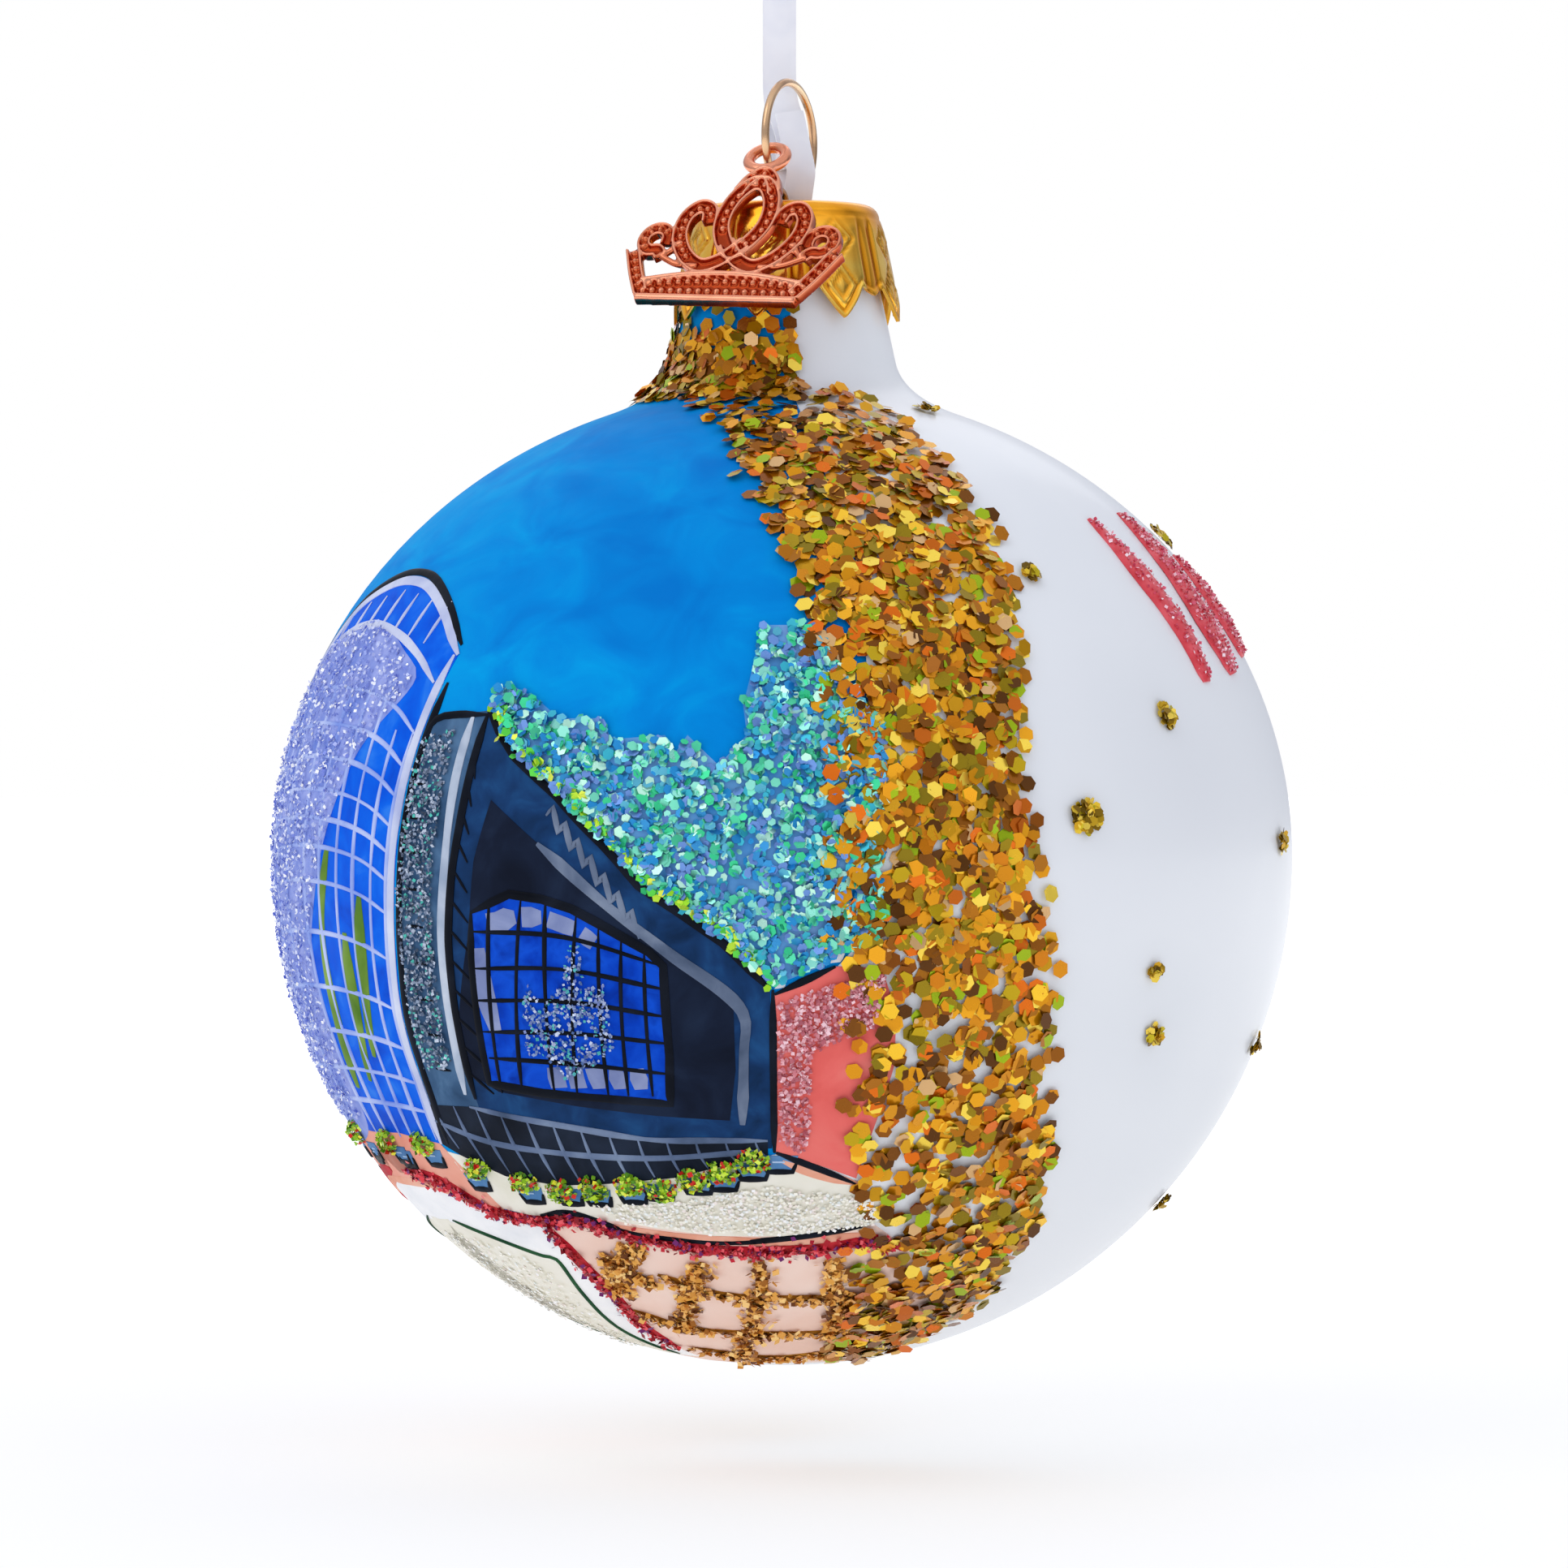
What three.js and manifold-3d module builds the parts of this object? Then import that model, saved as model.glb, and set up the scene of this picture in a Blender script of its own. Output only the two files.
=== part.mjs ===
// A blown glass christmas ball on a satin ribbon: ball, cap, wire hanger, crown charm, ribbon loop,
// and the sequins, glitter, relief strokes and dots that are glued to the glass.
// Millimetres, +Z up. The origin is the underside of the ribbon loop's top, where a hook bears.
// Inside the assembly group heights are measured from the ball's centre. The painted side faces -Y,
// and an azimuth is counted from there towards +X.
import * as THREE from 'three';
import { mergeVertices } from 'three/addons/utils/BufferGeometryUtils.js';
import Module from 'manifold-3d';

const wasm = await Module();
wasm.setup();

// ---- driving dimensions ----
const GAP = 0.3;                   // clearance between pieces that touch
const HANG_HEIGHT = 106;           // ball centre to the underside of the ribbon's crest

const BALL_R = 50;                 // 100 mm ball
const BALL_TOP = 46.2;             // the blown ball is a little flat above its equator
const WALL = 1.0;                  // glass thickness
const SHOULDER_R = 17.6;           // where the ball turns up into the neck
const NECK_FOOT = { r: 11.0, h: 48.6 };
const NECK_BEND = { r: 11.7, h: 45.2 };
const NECK_LIP = { r: 8.0, h: 62.4 };

const CAP_TOP = 64.1;
const CAP_TOP_R = 9.15;
const CAP_CORNER = 1.4;            // radius of the rolled top edge
const CAP_FOOT_R = 11.1;
const CAP_FOOT = 55.6;             // bottom of the skirt between the teeth
const CAP_SHEET = 0.4;
const CAP_HOLE_R = 1.9;
const CAP_TEETH = 8;
const TOOTH_LONG = 3.2;            // how far a large tooth reaches below the skirt
const TOOTH_SHORT = 0.9;
const CAP_SHIFT = 0.25;            // the cap sits a little to one side on the neck

const HANG_TURN = 72;              // azimuth that the ribbon's flat face looks to
const LOOP_TURN = 67.5;            // turn of the wire loop's plane from the ribbon's width
const WIRE_R = 0.4;
const LOOP = { h: 70.5, halfWidth: 6.2, halfHeight: 5.7 };
const LOOP_SHIFT = 0.3;            // the wire sits to the same side in the cap's hole
const LOOP_OPEN = 15;              // half the loop's open angle at its foot
const LEG_SPREAD = 5.7;
const LEG_FOOT = 47;

const CHARM_YAW = 21;
const CHARM_ROLL = -3.6;           // it hangs a little askew in its own plane
const CHARM_LEAN = 36.5;           // angle between the charm's plane and the vertical
const CHARM_THICK = 1.1;
const CHARM_BACK = 0.1;            // back of the plate in front of the middle of the eye
const CHARM_OUT = 0.45;            // the eye bears on the outer side of the wire
const CHARM_BASE_HALF = 8.3;
const CHARM_TOP_HALF = 11.5;
const CHARM_EYE_H = 68.2;
const CHARM_DROP = 18.4;           // base of the charm below its eye, along the charm
const EYE_R = 1.85;
const EYE_TUBE = 0.5;

const RIBBON_WIDTH = 3.3;
const RIBBON_THICK = 0.5;
const KNOT_H = 66.9;

const SEQUIN_THICK = 0.9;
const GLITTER_THICK = 0.5;

const FACETS = 36;

// ---- helpers ----
const rad = THREE.MathUtils.degToRad;

function finish(roughness, metalness, color) {
  return new THREE.MeshStandardMaterial({ color, roughness, metalness });
}

const glass = finish(0.3, 0.0, 0xe4e6f0);
const gold = finish(0.35, 1.0, 0xc8921c);
const wireGold = finish(0.3, 1.0, 0xb98a52);
const copper = finish(0.35, 1.0, 0xbd6a4c);
const satin = finish(0.5, 0.0, 0xe4e7f2);
const sequinGold = finish(0.3, 0.8, 0xb57a12);
const glitterGold = finish(0.35, 0.8, 0xb08a20);

const object = new THREE.Group();
const assembly = new THREE.Group();
assembly.position.z = -HANG_HEIGHT;
object.add(assembly);

function addMesh(parent, name, geometry, material) {
  const mesh = new THREE.Mesh(geometry, material);
  mesh.name = name;
  parent.add(mesh);
  return mesh;
}

// A closed geometry as a manifold solid, for joining and cutting.
function toSolid(geometry) {
  const bare = geometry.clone();
  bare.deleteAttribute('normal');
  bare.deleteAttribute('uv');
  const merged = mergeVertices(bare, 1e-4);
  return new wasm.Manifold(new wasm.Mesh({
    numProp: 3,
    vertProperties: new Float32Array(merged.attributes.position.array),
    triVerts: new Uint32Array(merged.index.array),
  }));
}

function toGeometry(solid) {
  const mesh = solid.getMesh();
  const geometry = new THREE.BufferGeometry();
  geometry.setAttribute('position', new THREE.BufferAttribute(mesh.vertProperties, 3));
  geometry.setIndex(new THREE.BufferAttribute(mesh.triVerts, 1));
  return geometry;
}

// A profile of (radius, height) points turned about the Z axis.
function turned(points, facets) {
  const geometry = new THREE.LatheGeometry(points.map(([r, h]) => new THREE.Vector2(r, h)), facets);
  geometry.rotateX(Math.PI / 2);
  return geometry;
}

// A solid bar along a curve. Its section has the given half sizes.
function bar(curve, halfX, halfY, sides, steps) {
  const section = new THREE.Shape();
  for (let i = 0; i < sides; i += 1) {
    const turn = (i + 0.5) * 2 * Math.PI / sides;
    const stretch = 1 / Math.cos(Math.PI / sides);
    const x = halfX * stretch * Math.cos(turn);
    const y = halfY * stretch * Math.sin(turn);
    if (i === 0) section.moveTo(x, y);
    else section.lineTo(x, y);
  }
  section.closePath();
  return new THREE.ExtrudeGeometry(section, { steps, extrudePath: curve, curveSegments: 1 });
}

// ---- glass ball ----
// Radius and height of the ball's outside at a latitude, moved out by an offset.
function ballPoint(latitude, offset) {
  const angle = rad(latitude);
  const high = latitude > 0 ? BALL_TOP : BALL_R;
  return [(BALL_R + offset) * Math.cos(angle), (high + offset) * Math.sin(angle)];
}

// Half of the ball's section from the bottom pole to the neck's lip, moved in by an inset.
function ballProfile(inset, rings) {
  const shoulder = THREE.MathUtils.radToDeg(Math.acos(SHOULDER_R / BALL_R));
  const points = [];
  for (let i = 0; i <= rings; i += 1) {
    points.push(ballPoint(-90 + (90 + shoulder) * i / rings, -inset));
  }
  points[0][0] = 0;
  const start = points[rings];
  const bend = new THREE.QuadraticBezierCurve(
    new THREE.Vector2(start[0], start[1]),
    new THREE.Vector2(NECK_BEND.r - inset, NECK_BEND.h - inset * 0.7),
    new THREE.Vector2(NECK_FOOT.r - inset, NECK_FOOT.h),
  );
  bend.getPoints(4).slice(1).forEach((p) => points.push([p.x, p.y]));
  points.push([NECK_LIP.r - inset, NECK_LIP.h]);
  return points;
}

const ballOutside = ballProfile(0, 20);
const ballInside = ballProfile(WALL, 14);
addMesh(assembly, 'glass_ball', turned([...ballOutside, ...ballInside.reverse()], FACETS), glass);

// Radius of the neck's outside at a height.
function neckRadius(height) {
  for (let i = 1; i < ballOutside.length; i += 1) {
    const [r0, h0] = ballOutside[i - 1];
    const [r1, h1] = ballOutside[i];
    if (height <= h1) return r0 + (r1 - r0) * (height - h0) / (h1 - h0);
  }
  return NECK_LIP.r;
}

// ---- things glued to the glass ----
function onBall(azimuth, latitude, offset) {
  const [r, h] = ballPoint(latitude, offset);
  return new THREE.Vector3(r * Math.sin(rad(azimuth)), -r * Math.cos(rad(azimuth)), h);
}

// A thin closed sheet: place(u, v, w) gives a point for u and v across the sheet and w through it.
function sheet(columns, rows, place) {
  const geometry = new THREE.BoxGeometry(1, 1, 1, columns, rows, 1);
  const position = geometry.attributes.position;
  for (let i = 0; i < position.count; i += 1) {
    const u = position.getX(i) + 0.5;
    const v = position.getY(i) + 0.5;
    const w = position.getZ(i) + 0.5;
    const point = place(u, v, w);
    position.setXYZ(i, point.x, point.y, point.z);
  }
  geometry.deleteAttribute('normal');
  geometry.deleteAttribute('uv');
  return geometry;
}

// Straight lines between (key, value) pairs.
function follow(pairs, key) {
  for (let i = 1; i < pairs.length; i += 1) {
    const [k0, v0] = pairs[i - 1];
    const [k1, v1] = pairs[i];
    if (key <= k1) return v0 + (v1 - v0) * (key - k0) / (k1 - k0);
  }
  return pairs[pairs.length - 1][1];
}

// A patch between two latitudes. Its left and right edges are azimuths given by latitude.
function patch(name, low, high, left, right, columns, rows, thick, material) {
  const lift = GAP + 0.1;
  const geometry = sheet(columns, rows, (u, v, w) => {
    const latitude = low + (high - low) * v;
    const from = follow(left, latitude);
    const to = follow(right, latitude);
    return onBall(from + (to - from) * u, latitude, lift + thick * w);
  });
  addMesh(assembly, name, geometry, material);
}

const bandInner = [[-74, 82], [-56, 81], [-40, 80], [-20, 79.5], [20, 78], [36, 73], [49, 67], [62, 58]];
const bandOuter = [
  [-74, 112], [-56, 116], [-42, 111], [-20, 103], [0, 99], [14, 98], [36, 102.5], [62, 101],
];
const flip = (pairs) => pairs.map(([latitude, azimuth]) => [latitude, -azimuth]);
patch('sequin_band_right', -74, 62, bandInner, bandOuter, 4, 24, SEQUIN_THICK, sequinGold);
patch('sequin_band_left', -74, 62, flip(bandOuter), flip(bandInner), 4, 24, SEQUIN_THICK, sequinGold);

const COLLAR = { foot: 46.0, top: 52.0, halfTurn: 76 };
addMesh(assembly, 'sequin_collar', sheet(18, 4, (u, v, w) => {
  const height = COLLAR.foot + (COLLAR.top - COLLAR.foot) * v;
  const azimuth = rad(COLLAR.halfTurn * (2 * u - 1));
  const r = neckRadius(height) + GAP + 0.05 + SEQUIN_THICK * 0.8 * w;
  return new THREE.Vector3(r * Math.sin(azimuth), -r * Math.cos(azimuth), height);
}), sequinGold);

const roofLine = [[-11, 70], [19, 37]];
const glitterPatches = [
  ['aqua_glitter', -11, 16, roofLine, [[0, 77]], 6, 5, 0x3fb8c8],
  ['tower_glitter', -28, 27, [[-28, -12], [0, -20], [27, -8]], [[-28, 8], [0, 11], [27, 12]], 5, 9, 0xb8bfe6],
  ['strip_glitter', -24, 12, [[-24, 24], [12, 29]], [[-24, 27], [12, 32.5]], 1, 6, 0x8094b0],
  ['window_glitter', -24, -10, [[0, 43]], [[0, 55]], 3, 3, 0x7f95dc],
  ['coral_glitter', -33, -12.5, [[0, 71]], [[-33, 76], [-12, 77.5]], 2, 4, 0xd9757c],
  ['ground_glitter', -44, -40.4, [[0, 44]], [[0, 78]], 6, 2, 0xe6e0cc],
  ['terrace_glitter', -72, -50, [[-72, -20], [-50, -8]], [[-72, 8], [-50, 26]], 5, 5, 0xe8e2d0],
  ['red_glitter_line', -48.4, -45.2, [[0, 8]], [[0, 79]], 10, 1, 0xb02038],
  ['gold_chip_lattice', -72, -49.6, [[-72, 22], [-49, 36]], [[0, 79]], 6, 5, 0xb98230],
];
glitterPatches.forEach(([name, low, high, left, right, columns, rows, color]) => {
  patch(name, low, high, left, right, columns, rows, GLITTER_THICK, finish(0.5, 0.2, color));
});

// A flattened bead of glitter or glue, resting on the glass.
function bead(name, azimuth, latitude, radius, height, material) {
  const geometry = new THREE.SphereGeometry(1, 8, 4);
  geometry.scale(radius, radius, height / 2);
  const mesh = addMesh(assembly, name, geometry, material);
  const sag = radius * radius / (2 * BALL_R);
  const base = onBall(azimuth, latitude, 0);
  const outward = onBall(azimuth, latitude, 10).sub(base).normalize();
  mesh.position.copy(base).addScaledVector(outward, GAP + sag + height / 2);
  mesh.quaternion.setFromUnitVectors(new THREE.Vector3(0, 0, 1), outward);
}

const numbered = (index) => String(index + 1).padStart(2, '0');
// Azimuth and latitude of each tuft of the planted row.
const shrubs = [
  [-4.5, -32], [8.5, -32.5], [18, -32.5], [27, -35.5], [34.5, -37], [40, -38],
  [45.5, -37.5], [51, -37], [55.5, -37.5], [60, -36], [64, -35], [68, -33.5],
];
shrubs.forEach(([azimuth, latitude], i) => {
  bead(`shrub_${numbered(i)}`, azimuth, latitude, 1.5, 1.4, finish(0.5, 0.2, 0x8fae1e));
});

// Azimuth, latitude and radius of each glitter dot on the white side.
const goldDots = [
  [123, 64, 1.3], [106.3, 35.3, 1.1], [120.4, 17, 1.3], [106, 5, 1.8], [145, 2, 1.2], [119, -19, 1.1],
  [117, -12, 0.8], [149, -21, 1.1], [152, -42, 1.1], [158, 42.5, 1.6], [186, 12, 1.2],
  [205, -28, 1.1], [224, 28, 1.3], [236, -8, 1.1], [246, 40, 1.0], [180, -55, 1.2],
];
goldDots.forEach(([azimuth, latitude, radius], i) => {
  bead(`gold_dot_${numbered(i)}`, azimuth, latitude, radius, 1.0, glitterGold);
});

// Raised brush strokes, pointed at their upper ends: top and bottom azimuth, latitudes, half width.
const strokes = [
  [126.8, 131.3, 44.5, 21.3, 1.8],
  [140.9, 141.2, 46, 22.5, 2.7],
  [152, 152, 39.5, 25, 2.4],
];
strokes.forEach(([topAz, lowAz, high, low, half], i) => {
  const geometry = sheet(2, 10, (u, v, w) => {
    const latitude = low + (high - low) * v;
    const width = half * (0.25 + 0.75 * Math.sin(Math.PI * Math.min(1, 1.12 - v)));
    const across = (2 * u - 1) * width / ballPoint(latitude, 0)[0];
    const azimuth = lowAz + (topAz - lowAz) * v + THREE.MathUtils.radToDeg(across);
    return onBall(azimuth, latitude, GAP + 0.1 + 0.7 * w);
  });
  addMesh(assembly, `relief_stroke_${i + 1}`, geometry, finish(0.45, 0.0, 0xc9324a));
});

// ---- cap, hanger, charm, ribbon: turned so that the ribbon's width is local X ----
const hanging = new THREE.Group();
hanging.rotation.z = rad(HANG_TURN);
assembly.add(hanging);
const capGroup = new THREE.Group();
capGroup.position.x = CAP_SHIFT;
hanging.add(capGroup);

function capWall(inset) {
  const points = [[CAP_HOLE_R, CAP_TOP - inset]];
  const centre = [CAP_TOP_R - CAP_CORNER, CAP_TOP - CAP_CORNER];
  for (let i = 0; i <= 3; i += 1) {
    const turn = Math.PI / 2 * (1 - i / 3);
    const r = CAP_CORNER - inset;
    points.push([centre[0] + r * Math.cos(turn), centre[1] + r * Math.sin(turn)]);
  }
  points.push([CAP_FOOT_R - 0.6 - inset, CAP_FOOT + 1.2], [CAP_FOOT_R - 0.35 - inset, CAP_FOOT]);
  return points;
}

// How far the skirt's edge reaches down at an angle: a large tooth, then a small one between.
function toothReach(angle) {
  const pitch = 2 * Math.PI / CAP_TEETH;
  const fromTooth = Math.abs(((angle / pitch) % 1 + 1.5) % 1 - 0.5);
  if (fromTooth < 0.3) return TOOTH_LONG * (1 - fromTooth / 0.3);
  return TOOTH_SHORT * (fromTooth - 0.3) / 0.2;
}

function makeCap() {
  const outside = capWall(0);
  const inside = capWall(CAP_SHEET).reverse();
  const loop = [...outside, ...inside, outside[0]].reverse();
  const geometry = turned(loop, 48);
  const position = geometry.attributes.position;
  for (let i = 0; i < position.count; i += 1) {
    if (Math.abs(position.getZ(i) - CAP_FOOT) > 1e-3) continue;
    const x = position.getX(i);
    const y = position.getY(i);
    const reach = toothReach(Math.atan2(y, x) - rad(30 - 90));
    const r = Math.hypot(x, y);
    const flare = 1 + reach * 0.12 / r;
    position.setXYZ(i, x * flare, y * flare, CAP_FOOT - reach);
  }
  return geometry;
}
addMesh(capGroup, 'cap', makeCap(), gold);

const loopPlane = new THREE.Group();
loopPlane.rotation.z = rad(LOOP_TURN);
loopPlane.position.x = LOOP_SHIFT;
capGroup.add(loopPlane);

function loopPoint(angle) {
  return new THREE.Vector3(
    LOOP.halfWidth * Math.sin(rad(angle)), 0, LOOP.h - LOOP.halfHeight * Math.cos(rad(angle)),
  );
}

function makeHanger() {
  const leg = [
    [LEG_SPREAD, LEG_FOOT], [LEG_SPREAD - 0.1, 54], [LEG_SPREAD - 1.2, 58.5], [2.2, 61.6], [0.85, 63.4],
  ];
  const side = (sign) => leg.map(([d, h]) => new THREE.Vector3(sign * d, 0, h));
  const points = side(-1);
  for (let angle = LOOP_OPEN; angle <= 360 - LOOP_OPEN; angle += (360 - 2 * LOOP_OPEN) / 20) {
    points.push(loopPoint(-angle));
  }
  points.push(...side(1).reverse());
  const curve = new THREE.CatmullRomCurve3(points, false, 'centripetal');
  return bar(curve, WIRE_R, WIRE_R, 8, 84);
}
addMesh(loopPlane, 'hanger_wire', makeHanger(), wireGold);

// ---- crown charm: local X along the base, local Y up the charm, local Z out of its face ----
const eyeAngle = -THREE.MathUtils.radToDeg(Math.acos((LOOP.h - CHARM_EYE_H) / LOOP.halfHeight));
const eyePlace = loopPoint(eyeAngle).applyAxisAngle(new THREE.Vector3(0, 0, 1), rad(LOOP_TURN));

function leafHole(x, y, length, width, tilt) {
  const hole = new THREE.Path();
  const axis = new THREE.Vector2(Math.sin(rad(tilt)), Math.cos(rad(tilt)));
  const side = new THREE.Vector2(axis.y, -axis.x);
  const at = (along, across) => [
    x + axis.x * along + side.x * across, y + axis.y * along + side.y * across,
  ];
  hole.moveTo(...at(-length / 2, 0));
  hole.quadraticCurveTo(...at(0, width), ...at(length / 2, 0));
  hole.quadraticCurveTo(...at(0, -width), ...at(-length / 2, 0));
  return hole;
}

function crownOutline() {
  const shape = new THREE.Shape();
  shape.moveTo(-CHARM_BASE_HALF, 0);
  shape.lineTo(CHARM_BASE_HALF, 0);
  shape.lineTo(CHARM_TOP_HALF, 6.2);
  shape.lineTo(CHARM_TOP_HALF - 0.9, 6.9);
  shape.absarc(8.5, 7.6, 2.0, rad(-20), rad(140), false);
  shape.absarc(4.7, 9.7, 2.6, rad(0), rad(130), false);
  shape.quadraticCurveTo(2.6, 14.4, 0.5, 16.7);
  shape.lineTo(-0.5, 16.7);
  shape.quadraticCurveTo(-2.6, 14.4, -3.2, 11.7);
  shape.absarc(-4.7, 9.7, 2.6, rad(50), rad(180), false);
  shape.absarc(-8.5, 7.6, 2.0, rad(40), rad(200), false);
  shape.lineTo(-CHARM_TOP_HALF + 0.9, 6.9);
  shape.lineTo(-CHARM_TOP_HALF, 6.2);
  shape.closePath();
  shape.holes.push(leafHole(0, 10.2, 8.2, 2.3, 0));
  [-1, 1].forEach((sign) => {
    shape.holes.push(leafHole(sign * 4.3, 8.8, 5.2, 2.4, sign * 12));
    shape.holes.push(leafHole(sign * 8.6, 7.4, 2.2, 1.3, sign * 20));
    shape.holes.push(leafHole(sign * 7.8, 4.4, 3.0, 1.0, sign * 80));
  });
  return shape;
}

const EYE_TILT = -14;              // the eye is bent back from the charm's plane
function makeCharm() {
  const plate = new THREE.ExtrudeGeometry(crownOutline(), {
    depth: CHARM_THICK, bevelEnabled: false, curveSegments: 5,
  });
  plate.translate(0, -CHARM_DROP, CHARM_BACK);
  plate.rotateZ(rad(CHARM_ROLL));
  const eye = new THREE.TorusGeometry(EYE_R, EYE_TUBE, 8, 16);
  eye.rotateX(rad(EYE_TILT));
  return toGeometry(toSolid(plate).add(toSolid(eye)));
}
const charm = addMesh(capGroup, 'crown_charm', makeCharm(), copper);
charm.position.copy(eyePlace);
charm.position.x += LOOP_SHIFT;
charm.position.y -= CHARM_OUT;
charm.rotation.order = 'ZXY';
charm.rotation.z = rad(-CHARM_YAW);
charm.rotation.x = rad(90 - CHARM_LEAN);

// ---- ribbon ----
function makeKnot() {
  const lump = new THREE.SphereGeometry(1, 12, 8);
  lump.scale(1.5, 2.1, 1.0);
  const solid = toSolid(lump.translate(0, 0, KNOT_H));
  const lug = (sign) => toSolid(new THREE.BoxGeometry(1.8, 0.8, 1.9).translate(0, sign * 1.5, KNOT_H - 1.2));
  return toGeometry(solid.add(lug(1)).add(lug(-1)));
}
addMesh(loopPlane, 'ribbon_knot', makeKnot(), satin);

// Route from the knot up one strand, over the crest and down the other: across (local X), back
// (local Y) and height above the ball's centre.
const ribbonRoute = [
  [0.75, -0.1, 68.4], [0.7, 0.6, 70.0], [0.4, 2.4, 72.5], [-0.15, 3.8, 74.2], [-0.4, 4.2, 75.6],
  [-0.45, 4.3, 77.5], [-0.45, 3.8, 81.0], [-0.45, 2.4, 88.0], [-0.4, 0.6, 95.0],
  [-0.2, -1.6, 101.0], [-0.1, -2.7, 103.6], [0.0, -2.1, 105.5], [0.0, 0.0, 106.25],
  [0.0, 2.1, 105.5], [-0.1, 3.0, 103.6], [-0.2, 2.9, 101.0], [-0.4, 3.2, 95.0],
  [-0.45, 4.2, 88.0], [-0.45, 5.3, 81.0], [-0.45, 5.8, 77.5], [-0.4, 5.7, 75.6],
  [-0.2, 5.2, 74.2], [0.0, 3.9, 72.5], [-0.1, 2.2, 70.0], [-0.1, 1.4, 68.4],
];

function makeRibbon() {
  const points = ribbonRoute.map(([x, y, z]) => new THREE.Vector3(x, y, z));
  const curve = new THREE.CatmullRomCurve3(points, false, 'centripetal');
  return bar(curve, RIBBON_WIDTH / 2, RIBBON_THICK / 2, 8, 64);
}
addMesh(hanging, 'ribbon', makeRibbon(), satin);

export default object;
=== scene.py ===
"""The looks of a souvenir glass ball ornament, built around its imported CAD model.

Shapes are worked out in millimetres with heights from the ball's centre. add_piece() turns them
into the frame's metres. A place on the ball is an azimuth, in degrees from -Y towards +X, and a
latitude. The painted half of the ball looks towards azimuth 0.
"""
import math

import bmesh
import bpy
import numpy as np
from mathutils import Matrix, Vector
from mathutils.geometry import delaunay_2d_cdt


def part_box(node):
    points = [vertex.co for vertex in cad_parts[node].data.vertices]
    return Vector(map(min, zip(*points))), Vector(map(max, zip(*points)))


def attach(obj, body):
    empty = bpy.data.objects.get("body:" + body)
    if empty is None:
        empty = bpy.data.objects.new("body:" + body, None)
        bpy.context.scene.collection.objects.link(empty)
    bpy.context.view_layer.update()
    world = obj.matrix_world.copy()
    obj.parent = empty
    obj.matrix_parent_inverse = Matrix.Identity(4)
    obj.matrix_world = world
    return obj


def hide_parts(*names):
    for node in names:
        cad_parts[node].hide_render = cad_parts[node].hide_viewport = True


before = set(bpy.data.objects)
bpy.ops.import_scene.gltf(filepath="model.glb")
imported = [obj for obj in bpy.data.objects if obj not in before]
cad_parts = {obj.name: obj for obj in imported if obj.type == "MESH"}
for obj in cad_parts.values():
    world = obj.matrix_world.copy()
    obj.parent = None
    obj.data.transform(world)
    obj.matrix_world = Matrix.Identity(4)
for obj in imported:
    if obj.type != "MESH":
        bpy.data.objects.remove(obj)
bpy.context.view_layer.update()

# ---- driving dimensions, as in the CAD source ----
MM = 0.001
ball_low, ball_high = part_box("glass_ball")
BALL_R = (ball_high.x - ball_low.x) / 2 / MM
CENTRE_Z = ball_low.z + BALL_R * MM
NECK_TOP = (ball_high.z - CENTRE_Z) / MM
BALL_TOP = 46.2
WALL = 1.0
SHOULDER_R = 17.6
NECK_FOOT = (11.0, 48.6)
NECK_BEND = (11.7, 45.2)
NECK_LIP_R = 8.0

CAP_TOP = 64.1
CAP_TOP_R = 9.15
CAP_CORNER = 1.4
CAP_FOOT_R = 11.1
CAP_FOOT = 55.6
CAP_SHEET = 0.4
SKIRT_MID_R = 10.2
CAP_HOLE_R = 1.9
CAP_TEETH = 8
CAP_TOOTH_TURN = -60
TOOTH_LONG = 3.2
TOOTH_SHORT = 0.9
CAP_SHIFT = 0.25

HANG_TURN = 72
LOOP_TURN = 67.5
WIRE_R = 0.4
LOOP_H = 70.5
LOOP_HALF = (6.2, 5.7)
LOOP_SHIFT = 0.3
LOOP_OPEN = 15
LEG = [(5.7, 47.0), (5.6, 54.0), (4.5, 58.5), (2.2, 61.6), (0.85, 63.4)]

CHARM_YAW = 21
CHARM_ROLL = -3.6
CHARM_LEAN = 36.5
CHARM_DROP = 18.4
CHARM_BACK = 0.1
CHARM_OUT = 0.45
CHARM_EYE_H = 68.2
CHARM_WIDE = 0.93
CHARM_TALL = 1.05
EYE_R = 1.85
EYE_TILT = -14
CHARM_VOXEL = 0.115

RIBBON_WIDTH = 3.3
RIBBON_THICK = 0.26
RIBBON_ROUTE = [
    (0.75, -0.1, 68.4), (0.7, 0.6, 70.0), (0.4, 2.4, 72.5), (-0.15, 3.8, 74.2), (-0.4, 4.2, 75.6),
    (-0.45, 4.3, 77.5), (-0.45, 3.8, 81.0), (-0.45, 2.4, 88.0), (-0.4, 0.6, 95.0),
    (-0.2, -1.6, 101.0), (-0.1, -2.7, 103.6), (0.0, -2.1, 105.5), (0.0, 0.0, 106.25),
    (0.0, 2.1, 105.5), (-0.1, 3.0, 103.6), (-0.2, 2.9, 101.0), (-0.4, 3.2, 95.0),
    (-0.45, 4.2, 88.0), (-0.45, 5.3, 81.0), (-0.45, 5.8, 77.5), (-0.4, 5.7, 75.6),
    (-0.2, 5.2, 74.2), (0.0, 3.9, 72.5), (-0.1, 2.2, 70.0), (-0.1, 1.4, 68.4),
]

VIEW_AZIMUTH = 72
VIEW_DISTANCE = 660
VIEW_RISE = 7.1
VIEW_FIELD = 154.5
FLOOR_DROP = 58.8
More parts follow.
